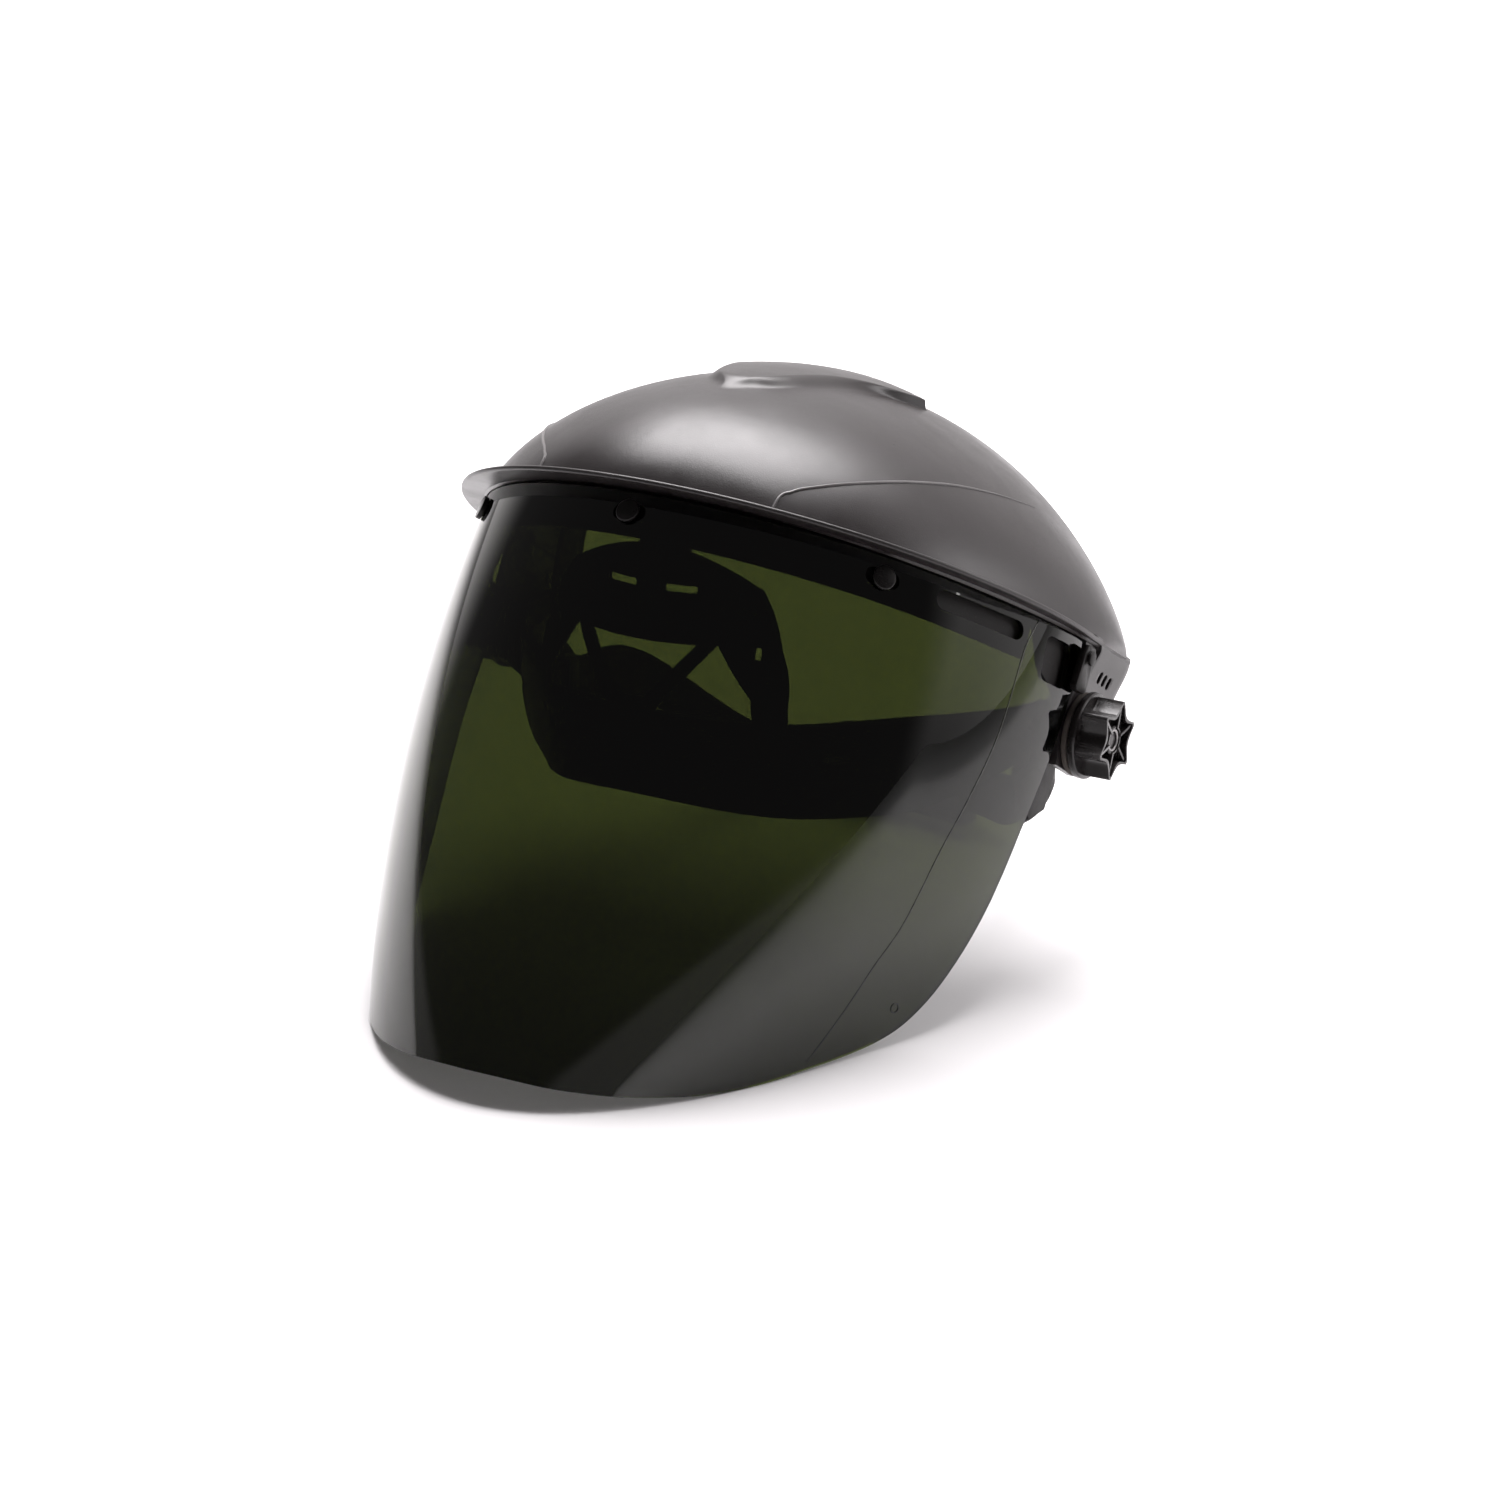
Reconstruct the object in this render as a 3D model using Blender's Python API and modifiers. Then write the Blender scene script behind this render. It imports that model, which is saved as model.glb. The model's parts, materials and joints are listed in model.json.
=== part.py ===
"""Face shield: a moulded crown with a brow ridge, a shaded window and ratchet headgear.

Every frame has its origin on the tilt axis, which joins the two tension knobs. The shield frame
leans back by SHIELD_LEAN, so its own Z is square to the brim. The headgear frame is level.
Front is -Y and the wearer's left is +X.
"""

from math import acos, asin, atan2, cos, pi, radians, sin

import bmesh
import bpy
from mathutils import Matrix, Vector

# Driving dimensions, in metres and radians.
SHIELD_LEAN = radians(31.2)
AXIS_HEIGHT = 0.0811
AXIS_BACK = 0.0494

RIM_Z = 0.0317
PLAN_BACK = 0.0160

WINDOW_HALF_WIDTH = 0.1086
WINDOW_DEPTH = 0.1199
WINDOW_REACH = 0.223
WINDOW_TAPER = 0.029
WINDOW_BULGE = 0.0124
WINDOW_FORWARD = 0.0041
WING_FLARE = 0.0065
WINDOW_THICKNESS = 0.0020
WINDOW_TOP_GAP = 0.0024
WINDOW_EDGE = (
    (0.0, 0.2010),
    (16.0, 0.2005),
    (29.0, 0.1980),
    (43.0, 0.1915),
    (54.0, 0.1825),
    (63.0, 0.1715),
    (71.0, 0.1600),
    (76.0, 0.1500),
    (79.5, 0.1375),
    (82.3, 0.1200),
    (84.3, 0.1000),
    (86.0, 0.0700),
    (87.6, 0.0500),
    (89.2, 0.0300),
    (90.4, 0.0120),
)
STUD_ANGLE = 45.8
STUD_DROP = 0.0095

DOME_BACK = 0.0150
DOME_FRONT_RADIUS = 0.1530
DOME_TOP_RADIUS = 0.0788
DOME_HALF_WIDTH = 0.1200
DOME_WALL = 0.0024

RIDGE_LIFT = 0.0036
RIDGE_EDGE = (
    (0.243, 0.0020),
    (0.252, 0.0060),
    (0.278, 0.0110),
    (0.331, 0.0183),
    (0.431, 0.0244),
    (0.549, 0.0305),
    (0.620, 0.0345),
    (0.690, 0.0375),
)

BRIM_HALF_WIDTH = 0.1185
BRIM_DEPTH = 0.1296
BRIM_THICKNESS = 0.0018
SKIRT_INSET = 0.0026
SKIRT_DEPTH = 0.0180
SKIRT_WALL = 0.0022

EAR_FACE = 0.1156
EAR_WALL = 0.0030
EAR_STEP = (-0.0150, -0.0120)
EAR_LOW, EAR_HIGH = -0.0140, 0.0330
EAR_FRONT = (
    (-0.0140, -0.0110),
    (0.0000, -0.0158),
    (0.0120, -0.0200),
    (0.0240, -0.0225),
    (0.0330, -0.0330),
)
EAR_BACK = (
    (-0.0140, 0.0070),
    (-0.0040, 0.0152),
    (0.0040, 0.0165),
    (0.0100, 0.0190),
    (0.0160, 0.0225),
    (0.0220, 0.0248),
    (0.0330, 0.0262),
)
PIVOT_RADIUS = 0.0152
LATCH_PIN = (-0.0150, 0.0240)
LATCH_SEAT = 0.1160

HEAD_HALF_WIDTH = 0.0740
HEAD_DEPTH = 0.0920
HEAD_BACK = 0.0130
BAND_WALL = 0.0018
ARM_INNER = 0.1061
ARM_WALL = 0.0030

NAPE_RADIUS = 0.0970
NAPE_SIDE_Z = -0.0200
STRAP_WALL = 0.0016
STRAP_GAP = 0.0004
NAPE_HEIGHT = 0.0200

PINION_TEETH = 8
PINION_PITCH_RADIUS = 0.0050
HOUSING_HALF_HEIGHT = 0.0150
NAPE_BACK_Z = HOUSING_HALF_HEIGHT - AXIS_HEIGHT

LEFT, RIGHT = 1, -1
SIDES = ((LEFT, "left"), (RIGHT, "right"))


def smooth(value):
    value = max(0.0, min(1.0, value))
    return value * value * (3 - 2 * value)


def along(table, key):
    """The value at key on a table of (key, value) points, joined by a smooth monotone curve."""
    keys = [point[0] for point in table]
    values = [point[1] for point in table]
    if key <= keys[0]:
        return values[0]
    if key >= keys[-1]:
        return values[-1]
    slopes = [(values[i + 1] - values[i]) / (keys[i + 1] - keys[i]) for i in range(len(keys) - 1)]
    tangents = [slopes[0]]
    for before, after in zip(slopes, slopes[1:]):
        together = before * after > 0
        tangents.append(2 * before * after / (before + after) if together else 0.0)
    tangents.append(slopes[-1])
    i = max(j for j in range(len(keys) - 1) if keys[j] <= key)
    step = keys[i + 1] - keys[i]
    t = (key - keys[i]) / step
    return (
        (2 * t**3 - 3 * t**2 + 1) * values[i]
        + (t**3 - 2 * t**2 + t) * step * tangents[i]
        + (3 * t**2 - 2 * t**3) * values[i + 1]
        + (t**3 - t**2) * step * tangents[i + 1]
    )


# ---------------------------------------------------------------- scene and helpers


def clear_scene():
    for thing in list(bpy.data.objects):
        bpy.data.objects.remove(thing, do_unlink=True)
    for holder in list(bpy.data.collections):
        bpy.data.collections.remove(holder)


clear_scene()
PARTS = bpy.data.collections.new("face_shield")
CUTTERS = bpy.data.collections.new("cutters")
for holder in (PARTS, CUTTERS):
    bpy.context.scene.collection.children.link(holder)


def make_frame(name, lean):
    frame = bpy.data.objects.new(name, None)
    frame.location = (0, AXIS_BACK, AXIS_HEIGHT)
    frame.rotation_euler = (-lean, 0, 0)
    frame.empty_display_size = 0.03
    PARTS.objects.link(frame)
    return frame


SHIELD = make_frame("shield_frame", SHIELD_LEAN)
HEADGEAR = make_frame("headgear_frame", 0.0)


def make_material(name, colour, roughness, metallic=0.0, alpha=1.0):
    material = bpy.data.materials.new(name)
    material.use_nodes = True
    shader = material.node_tree.nodes["Principled BSDF"]
    shader.inputs["Base Color"].default_value = (*colour, 1.0)
    shader.inputs["Roughness"].default_value = roughness
    shader.inputs["Metallic"].default_value = metallic
    shader.inputs["Alpha"].default_value = alpha
    return material


SHELL_BLACK = make_material("shell_black", (0.030, 0.029, 0.030), 0.42)
WINDOW_GREEN = make_material("window_green", (0.030, 0.050, 0.012), 0.06, alpha=0.55)
STUD_BLACK = make_material("stud_black", (0.015, 0.015, 0.016), 0.35)
KNOB_BLACK = make_material("knob_black", (0.020, 0.018, 0.019), 0.30)
BAND_BLACK = make_material("band_black", (0.022, 0.022, 0.023), 0.50)
WASHER_FIBRE = make_material("washer_fibre", (0.035, 0.030, 0.028), 0.80)
STEEL = make_material("steel", (0.62, 0.62, 0.63), 0.28, metallic=1.0)
BRASS = make_material("brass", (0.70, 0.52, 0.22), 0.30, metallic=1.0)
PAD_BLACK = make_material("pad_black", (0.030, 0.030, 0.032), 0.90)


def add_object(name, mesh, material, parent, holder=None):
    thing = bpy.data.objects.new(name, mesh)
    thing.parent = parent
    (holder or PARTS).objects.link(thing)
    if material:
        mesh.materials.append(material)
    if holder is CUTTERS:
        thing.hide_render = True
        thing.display_type = "WIRE"
    return thing


def mesh_of(shape, name):
    mesh = bpy.data.meshes.new(name)
    shape.to_mesh(mesh)
    shape.free()
    return mesh


def sheet(name, columns, rows, place, thickness, material, parent, holder=None, close=False):
    """A grid bent by place(u, v), u and v from 0 to 1, given a wall behind its normal side."""
    shape = bmesh.new()
    bmesh.ops.create_grid(shape, x_segments=columns, y_segments=rows, size=0.5)
    for corner in shape.verts:
        corner.co = Vector(place(corner.co.x + 0.5, corner.co.y + 0.5))
    if close:
        bmesh.ops.remove_doubles(shape, verts=shape.verts, dist=1e-6)
    thing = add_object(name, mesh_of(shape, name), material, parent, holder)
    wall = thing.modifiers.new("wall", "SOLIDIFY")
    wall.thickness = thickness
    wall.offset = -1.0
    wall.use_even_offset = True
    return thing


def cylinder(name, radius, span, centre, direction, material, parent, segments=32, holder=None):
    """A solid cylinder along direction; centre is the middle of its length."""
    shape = bmesh.new()
    turn = Vector((0, 0, 1)).rotation_difference(Vector(direction)).to_matrix().to_4x4()
    bmesh.ops.create_cone(
        shape,
        cap_ends=True,
        segments=segments,
        radius1=radius,
        radius2=radius,
        depth=span,
        matrix=Matrix.Translation(centre) @ turn,
    )
    return add_object(name, mesh_of(shape, name), material, parent, holder)


def tube(name, inner, outer, span, centre, direction, material, parent, segments=32):
    """A turned ring along direction, by a Screw on its rectangular section."""
    shape = bmesh.new()
    corners = [(inner, -span / 2), (outer, -span / 2), (outer, span / 2), (inner, span / 2)]
    points = [shape.verts.new((radius, 0, height)) for radius, height in corners]
    for first, second in zip(points, points[1:] + points[:1]):
        shape.edges.new((first, second))
    thing = add_object(name, mesh_of(shape, name), material, parent)
    turn = Vector((0, 0, 1)).rotation_difference(Vector(direction)).to_matrix().to_4x4()
    thing.matrix_local = Matrix.Translation(centre) @ turn
    lathe = thing.modifiers.new("lathe", "SCREW")
    lathe.axis = "Z"
    lathe.steps = segments
    lathe.render_steps = segments
    lathe.use_merge_vertices = True
    lathe.merge_threshold = 1e-5
    lathe.use_normal_calculate = True
    lathe.use_normal_flip = True
    return thing


def prism(name, outlines, low, high, axis, material, parent, holder=None):
    """Flat outlines in the plane square to axis, filled and drawn out from low to high.

    An outline along X is given as (y, z), along Y as (x, z), along Z as (x, y).
    """
    outline_curve = bpy.data.curves.new(name, "CURVE")
    outline_curve.dimensions = "2D"
    outline_curve.fill_mode = "BOTH"
    outline_curve.extrude = (high - low) / 2
    for outline in outlines:
        line = outline_curve.splines.new("POLY")
        line.points.add(len(outline) - 1)
        for point, (a, b) in zip(line.points, outline):
            point.co = (a, b, 0, 1)
        line.use_cyclic_u = True
    middle = (low + high) / 2
    columns = {
        "X": ((0, 1, 0), (0, 0, 1), (1, 0, 0)),
        "Y": ((1, 0, 0), (0, 0, 1), (0, -1, 0)),
        "Z": ((1, 0, 0), (0, 1, 0), (0, 0, 1)),
    }[axis]
    place = Matrix(columns).transposed().to_4x4()
    shift = {"X": (middle, 0, 0), "Y": (0, middle, 0), "Z": (0, 0, middle)}[axis]
    drawn = bpy.data.objects.new(name + "_outline", outline_curve)
    PARTS.objects.link(drawn)
    bpy.context.view_layer.update()
    evaluated = drawn.evaluated_get(bpy.context.evaluated_depsgraph_get())
    mesh = bpy.data.meshes.new_from_object(evaluated)
    bpy.data.objects.remove(drawn, do_unlink=True)
    mesh.transform(Matrix.Translation(shift) @ place)
    shape = bmesh.new()
    shape.from_mesh(mesh)
    bmesh.ops.remove_doubles(shape, verts=shape.verts, dist=1e-6)
    bmesh.ops.recalc_face_normals(shape, faces=shape.faces)
    shape.to_mesh(mesh)
    shape.free()
    mesh.name = name
    mesh.materials.clear()
    return add_object(name, mesh, material, parent, holder)


def hang(thing, name, place):
    """Hangs a moving piece on an empty that stands on its joint axis."""
    pin = bpy.data.objects.get(name)
    if pin is None:
        pin = bpy.data.objects.new(name, None)
        pin.empty_display_size = 0.01
        pin.parent = thing.parent
        pin.location = place
        PARTS.objects.link(pin)
    thing.parent = pin
    thing.matrix_parent_inverse = Matrix.Translation(-Vector(place))


def combine(target, tool, operation):
    """Join, cut or meet target with tool, which moves to the cutters."""
    step = target.modifiers.new(operation.lower(), "BOOLEAN")
    step.operation = operation
    step.solver = "EXACT"
    step.object = tool
    if tool.name in PARTS.objects:
        PARTS.objects.unlink(tool)
        CUTTERS.objects.link(tool)
    tool.hide_render = True
    tool.display_type = "WIRE"
    return target


def mirrored(outline, side):
    return [(side * a, b) for a, b in outline]


def rounded_box_outline(centre_a, centre_b, width, height, radius, steps=5):
    points = []
    corners = ((1, 1, 0), (-1, 1, 90), (-1, -1, 180), (1, -1, 270))
    for sign_a, sign_b, start in corners:
        a = centre_a + sign_a * (width / 2 - radius)
        b = centre_b + sign_b * (height / 2 - radius)
        for i in range(steps + 1):
            turn = radians(start + 90 * i / steps)
            points.append((a + radius * cos(turn), b + radius * sin(turn)))
    return points


# ---------------------------------------------------------------- window


def window_point(angle, drop, inset=0.0):
    """A point on the window's outer face: angle round from the front, drop below the rim."""
    share = drop / WINDOW_REACH
    bulge = WINDOW_BULGE * 4 * share * (1 - share)
    flare = WING_FLARE * smooth((abs(angle) - radians(62)) / radians(30))
    across = WINDOW_HALF_WIDTH - WINDOW_TAPER * share + bulge + flare - inset
    ahead = WINDOW_DEPTH + WINDOW_FORWARD * share + bulge - inset
    return (across * sin(angle), -PLAN_BACK - ahead * cos(angle), RIM_Z - drop)


def window_normal(angle, drop):
    """The outward direction square to the window at a point."""
    round_step = Vector(window_point(angle + 1e-3, drop)) - Vector(window_point(angle, drop))
    down_step = Vector(window_point(angle, drop + 1e-4)) - Vector(window_point(angle, drop))
    return down_step.cross(round_step).normalized()


def window_drop(angle):
    return along(WINDOW_EDGE, abs(angle) * 180 / pi)


def window_sheet():
    end = radians(WINDOW_EDGE[-1][0])

    def place(u, v):
        lean = 2 * u - 1
        angle = end * (1.62 * lean - 0.62 * lean * abs(lean))
        top = WINDOW_TOP_GAP
        return window_point(angle, top + (window_drop(angle) - top) * (1 - v))

    return place


def window_slot(name, angle_from, angle_to, drop, height):
    """A round-ended slot cutter that follows the window's curve, through its wall."""
    middle = (angle_from + angle_to) / 2
    centre = Vector(window_point(radians(middle), drop))
    ahead = (
        Vector(window_point(radians(angle_to), drop))
        - Vector(window_point(radians(angle_from), drop))
    )
    outline = rounded_box_outline(0, 0, ahead.length + height, height, height * 0.49, steps=4)
    cutter = prism(name, [outline], -0.012, 0.012, "Y", None, SHIELD, CUTTERS)
    turn = atan2(ahead.y, ahead.x)
    cutter.matrix_local = Matrix.Translation(centre) @ Matrix.Rotation(turn, 4, "Z")
    return cutter


def build_window():
    window = sheet(
        "visor", 44, 11, window_sheet(), WINDOW_THICKNESS, WINDOW_GREEN, SHIELD
    )
    for name, angle in (("left", STUD_ANGLE), ("centre", 0.0), ("right", -STUD_ANGLE)):
        cutter = window_slot("stud_slot_" + name, angle - 1.7, angle + 1.7, STUD_DROP, 0.0056)
        combine(window, cutter, "DIFFERENCE")
    for side, label in SIDES:
        ends = sorted((side * 58.0, side * 73.5))
        combine(window, window_slot("long_slot_" + label, *ends, 0.0092, 0.0066), "DIFFERENCE")
        outline = rounded_box_outline(-0.0295, 0.0178, 0.0140, 0.0158, 0.0028)
        low, high = sorted((side * 0.104, side * 0.124))
        hole = prism("wing_hole_" + label, [outline], low, high, "X", None, SHIELD, CUTTERS)
        combine(window, hole, "DIFFERENCE")
    return window


def build_studs():
    """A mushroom-headed stud on the skirt for each round slot of the window."""
    for name, angle in (("left", STUD_ANGLE), ("centre", 0.0), ("right", -STUD_ANGLE)):
        turn = radians(angle)
        face = Vector(window_point(turn, STUD_DROP))
        out = window_normal(turn, STUD_DROP)
        stem = cylinder(
            "stud_" + name, 0.0020, 0.0025, face - 0.0006 * out, out, STUD_BLACK, SHIELD, 20
        )
        head = cylinder(
            "stud_head_" + name, 0.0042, 0.0016, face + 0.0011 * out, out, None, SHIELD, 20, CUTTERS
        )
        combine(stem, head, "UNION")


# ---------------------------------------------------------------- crown shell


def dome_point(u, rise, lift=0.0):
    """A point on the crown: u from -1 to 1 across, rise 0 at the brim to 1 at the rear edge."""
    turn = rise * pi / 2
    share = rise**0.53
    across = 2.018 - 0.162 * share
    upward = 2.056 - 0.801 * share
    profile = 1.737
    radius = (
        (cos(turn) / DOME_FRONT_RADIUS) ** profile + (sin(turn) / DOME_TOP_RADIUS) ** profile
    ) ** (-1 / profile) + lift
    reach = radius * max(0.0, 1 - abs(u) ** across) ** (1 / upward)
    return (
        (DOME_HALF_WIDTH + lift) * u,
        DOME_BACK - reach * cos(turn),
        RIM_Z + reach * sin(turn),
    )


def brim_point(angle, inset):
    """Plan of the brim: an ellipse in front, straight behind the widest point."""
    ahead = BRIM_DEPTH - inset
    across = BRIM_HALF_WIDTH - inset
    if abs(angle) <= pi / 2:
        return (across * sin(angle), -PLAN_BACK - ahead * cos(angle))
    side = 1 if angle > 0 else -1
    return (side * across, -PLAN_BACK + BRIM_HALF_WIDTH * (abs(angle) - pi / 2))


def ear_face(y, z):
    """Distance of an ear's outer face from the middle: set in under the window, proud behind it."""
    drop = max(0.0, RIM_Z - z)
    turn = acos(max(-1.0, min(1.0, (-PLAN_BACK - y) / (WINDOW_DEPTH - SKIRT_INSET))))
    under_window = window_point(min(turn, radians(89)), drop, SKIRT_INSET)[0]
    flare = smooth((z - 0.018) / 0.014) * 0.0030
    proud = smooth((y - EAR_STEP[0]) / (EAR_STEP[1] - EAR_STEP[0]))
    return under_window + (EAR_FACE + flare - under_window) * proud


def ear_sheet(side):
    def place(u, v):
        z = EAR_LOW + (EAR_HIGH - EAR_LOW) * v
        start, end = along(EAR_FRONT, z), along(EAR_BACK, z)
        step_start = max(start + 0.0010, EAR_STEP[0])
        step_end = max(step_start + 0.0010, EAR_STEP[1])
        if u < 0.375:
            y = start + (step_start - start) * u / 0.375
        elif u < 0.625:
            y = step_start + (step_end - step_start) * (u - 0.375) / 0.25
        else:
            y = step_end + (end - step_end) * (u - 0.625) / 0.375
        return (side * ear_face(y, z), y, z)

    return place


def ridge_half_width(rise):
    return along(RIDGE_EDGE, rise) / DOME_HALF_WIDTH


def build_shell():
    def dome(u, v):
        lean = 2 * u - 1
        across = sin(lean * pi / 2) * 0.35 + lean * 0.65
        return dome_point(across, v)

    shell = sheet("crown_shell", 32, 12, dome, DOME_WALL, SHELL_BLACK, SHIELD, close=True)

    def ridge(u, v):
        start, finish = RIDGE_EDGE[0][0], RIDGE_EDGE[-1][0]
        rise = start + (finish - start) * v**1.6
        return dome_point((2 * u - 1) * ridge_half_width(rise), rise, RIDGE_LIFT)

    combine(shell, sheet("ridge", 10, 9, ridge, 0.0050, None, SHIELD, CUTTERS), "UNION")

    end = radians(108)

    def brim(u, v):
        angle = (2 * u - 1) * end
        flange = 0.0170 - 0.0125 * smooth((abs(angle) - radians(60)) / radians(24))
        x, y = brim_point(angle, -0.0004 + flange * (1 - v))
        return (x, y, RIM_Z - BRIM_THICKNESS / 2)

    combine(shell, sheet("brim", 40, 1, brim, BRIM_THICKNESS, None, SHIELD, CUTTERS), "UNION")

    skirt_end = radians(77)

    def skirt(u, v):
        return window_point((2 * u - 1) * skirt_end, SKIRT_DEPTH * (1 - v) - 0.0004, SKIRT_INSET)

    combine(shell, sheet("skirt", 32, 1, skirt, SKIRT_WALL, None, SHIELD, CUTTERS), "UNION")
    for side, label in SIDES:
        ear = sheet("ear_" + label, 8, 8, ear_sheet(side), EAR_WALL, None, SHIELD, CUTTERS)
        ear.modifiers["wall"].offset = -side
        combine(shell, ear, "UNION")
    for side, label in SIDES:
        bore = cylinder(
            "ear_bore_" + label, 0.0033, 0.020, (side * 0.114, 0, 0), (1, 0, 0), None, SHIELD, 24,
            CUTTERS,
        )
        combine(shell, bore, "DIFFERENCE")
        low, high = sorted((side * LATCH_SEAT, side * 0.130))
        pocket = prism(
            "latch_pocket_" + label,
            [rounded_box_outline(-0.0138, 0.0200, 0.0190, 0.0224, 0.0030, steps=2)],
            low, high, "X", None, SHIELD, CUTTERS,
        )
        combine(shell, pocket, "DIFFERENCE")
        for i, y in enumerate((0.0050, 0.0092, 0.0134)):
            low, high = sorted((side * 0.106, side * 0.124))
            slit = prism(
                "ear_slit_%s_%d" % (label, i),
                [rounded_box_outline(y, 0.0215, 0.0024, 0.0044, 0.0011, steps=2)],
                low, high, "X", None, SHIELD, CUTTERS,
            )
            combine(shell, slit, "DIFFERENCE")
    return shell


# ---------------------------------------------------------------- latches, knobs and pivots

LATCH_FACE = LATCH_SEAT + 0.0004
LATCH_THICKNESS = 0.0032


def build_latches():
    """A turn-latch at each side, hanging over the window's rear edge, on a headed pin."""
    y, z = LATCH_PIN
    outline = [
        (y - 0.0044, z + 0.0012),
        (y - 0.0030, z + 0.0040),
        (y + 0.0028, z + 0.0040),
        (y + 0.0040, z + 0.0022),
        (y + 0.0034, z - 0.0110),
        (y + 0.0020, z - 0.0124),
        (y - 0.0044, z - 0.0124),
        (y - 0.0056, z - 0.0110),
    ]
    for side, label in SIDES:
        low, high = sorted((side * LATCH_FACE, side * (LATCH_FACE + LATCH_THICKNESS)))
        latch = prism("latch_" + label, [outline], low, high, "X", STUD_BLACK, SHIELD)
        hang(latch, "latch_frame_" + label, (side * LATCH_FACE, y, z))
        place = (side * (LATCH_FACE + 0.0016), y, z)
        bore = cylinder(
            "latch_bore_" + label, 0.0018, 0.020, place, (1, 0, 0), None, SHIELD, 20, CUTTERS
        )
        combine(latch, bore, "DIFFERENCE")
        shank = cylinder(
            "latch_pin_" + label, 0.0014, 0.0050, (side * (LATCH_FACE + 0.0019), y, z), (1, 0, 0),
            STUD_BLACK, SHIELD, 20,
        )
        head = cylinder(
            "latch_pin_head_" + label, 0.0026, 0.0010, (side * (LATCH_FACE + 0.0040), y, z),
            (1, 0, 0), None, SHIELD, 20, CUTTERS,
        )
        combine(shank, head, "UNION")


KNOB_POINTS = 6
KNOB_TIP, KNOB_VALLEY = 0.0138, 0.0098
KNOB_BACK, KNOB_FACE = 0.1209, 0.1306
KNOB_TURN = radians(8)


def star_outline(shrink, turn):
    """Six blunt tips joined by hollow flutes, as (y, z)."""
    points = []
    for tip in range(KNOB_POINTS):
        middle = turn + 2 * pi * tip / KNOB_POINTS
        for offset in (-0.055, 0.055):
            angle = middle + offset
            points.append(((KNOB_TIP - shrink) * cos(angle), (KNOB_TIP - shrink) * sin(angle)))
        for share in (0.25, 0.5, 0.75):
            angle = middle + 0.055 + share * (2 * pi / KNOB_POINTS - 0.11)
            radius = KNOB_VALLEY - shrink + (KNOB_TIP - KNOB_VALLEY) * (2 * share - 1) ** 2
            points.append((radius * cos(angle), radius * sin(angle)))
    return points


def build_knobs():
    """A six-pointed tension knob with a flange, a hollow face, ribs and a threaded brass insert."""
    for side, label in SIDES:
        turn = KNOB_TURN if side > 0 else pi - KNOB_TURN
        low, high = sorted((side * KNOB_BACK, side * KNOB_FACE))
        body = prism(
            "tension_knob_" + label, [star_outline(0, turn)], low, high, "X", KNOB_BLACK, HEADGEAR
        )
        flange = cylinder(
            "knob_flange_" + label, PIVOT_RADIUS, 0.0028, (side * 0.1198, 0, 0), (1, 0, 0), None,
            HEADGEAR, 36, CUTTERS,
        )
        combine(body, flange, "UNION")
        face_low, face_high = sorted((side * (KNOB_FACE - 0.0030), side * (KNOB_FACE + 0.004)))
        hollow = prism(
            "knob_hollow_" + label, [star_outline(0.0014, turn)], face_low, face_high, "X", None,
            HEADGEAR, CUTTERS,
        )
        combine(body, hollow, "DIFFERENCE")
        for tip in range(KNOB_POINTS):
            angle = turn + 2 * pi * tip / KNOB_POINTS
            outward = Vector((0, cos(angle), sin(angle)))
            centre = Vector((side * (KNOB_FACE - 0.0024), 0, 0)) + outward * 0.0078
            shape = bmesh.new()
            bmesh.ops.create_cube(shape, size=1.0)
            spin = Matrix.Rotation(angle, 4, "X")
            scale = Matrix.Diagonal((0.0036, 0.0100, 0.0009, 1))
            bmesh.ops.transform(
                shape, matrix=Matrix.Translation(centre) @ spin @ scale, verts=shape.verts
            )
            rib_name = "knob_rib_" + label + str(tip)
            rib = add_object(rib_name, mesh_of(shape, rib_name), None, HEADGEAR, CUTTERS)
            combine(body, rib, "UNION")
        hub = cylinder(
            "knob_hub_" + label, 0.0052, 0.0088, (side * 0.1252, 0, 0), (1, 0, 0), None, HEADGEAR,
            24, CUTTERS,
        )
        combine(body, hub, "UNION")
        shank_bore = cylinder(
            "knob_bore_" + label, 0.0034, 0.030, (side * 0.1250, 0, 0), (1, 0, 0), None, HEADGEAR,
            24, CUTTERS,
        )
        combine(body, shank_bore, "DIFFERENCE")
        seat = cylinder(
            "insert_seat_" + label, 0.0043, 0.0120, (side * 0.1290, 0, 0), (1, 0, 0), None,
            HEADGEAR, 24, CUTTERS,
        )
        combine(body, seat, "DIFFERENCE")
        tube(
            "knob_insert_" + label, 0.0031, 0.0040, 0.0058, (side * 0.1264, 0, 0), (1, 0, 0),
            STEEL, HEADGEAR, 24,
        )


def build_pivots():
    """Bolt, fibre washers and headgear arm of each pivot, from the head outward."""
    for side, label in SIDES:
        bolt = cylinder(
            "pivot_bolt_" + label, 0.0028, 0.0244, (side * 0.1164, 0, 0), (1, 0, 0), STEEL,
            HEADGEAR, 24,
        )
        head = cylinder(
            "bolt_head_" + label, 0.0062, 0.0020, (side * 0.1047, 0, 0), (1, 0, 0), None, HEADGEAR,
            28, CUTTERS,
        )
        combine(bolt, head, "UNION")
        tube(
            "washer_inner_" + label, 0.0031, 0.0115, 0.0028, (side * 0.1108, 0, 0), (1, 0, 0),
            WASHER_FIBRE, HEADGEAR, 32,
        )
        tube(
            "washer_outer_" + label, 0.0031, 0.0146, 0.0020, (side * 0.1170, 0, 0), (1, 0, 0),
            WASHER_FIBRE, HEADGEAR, 32,
        )


# ---------------------------------------------------------------- headgear


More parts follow.
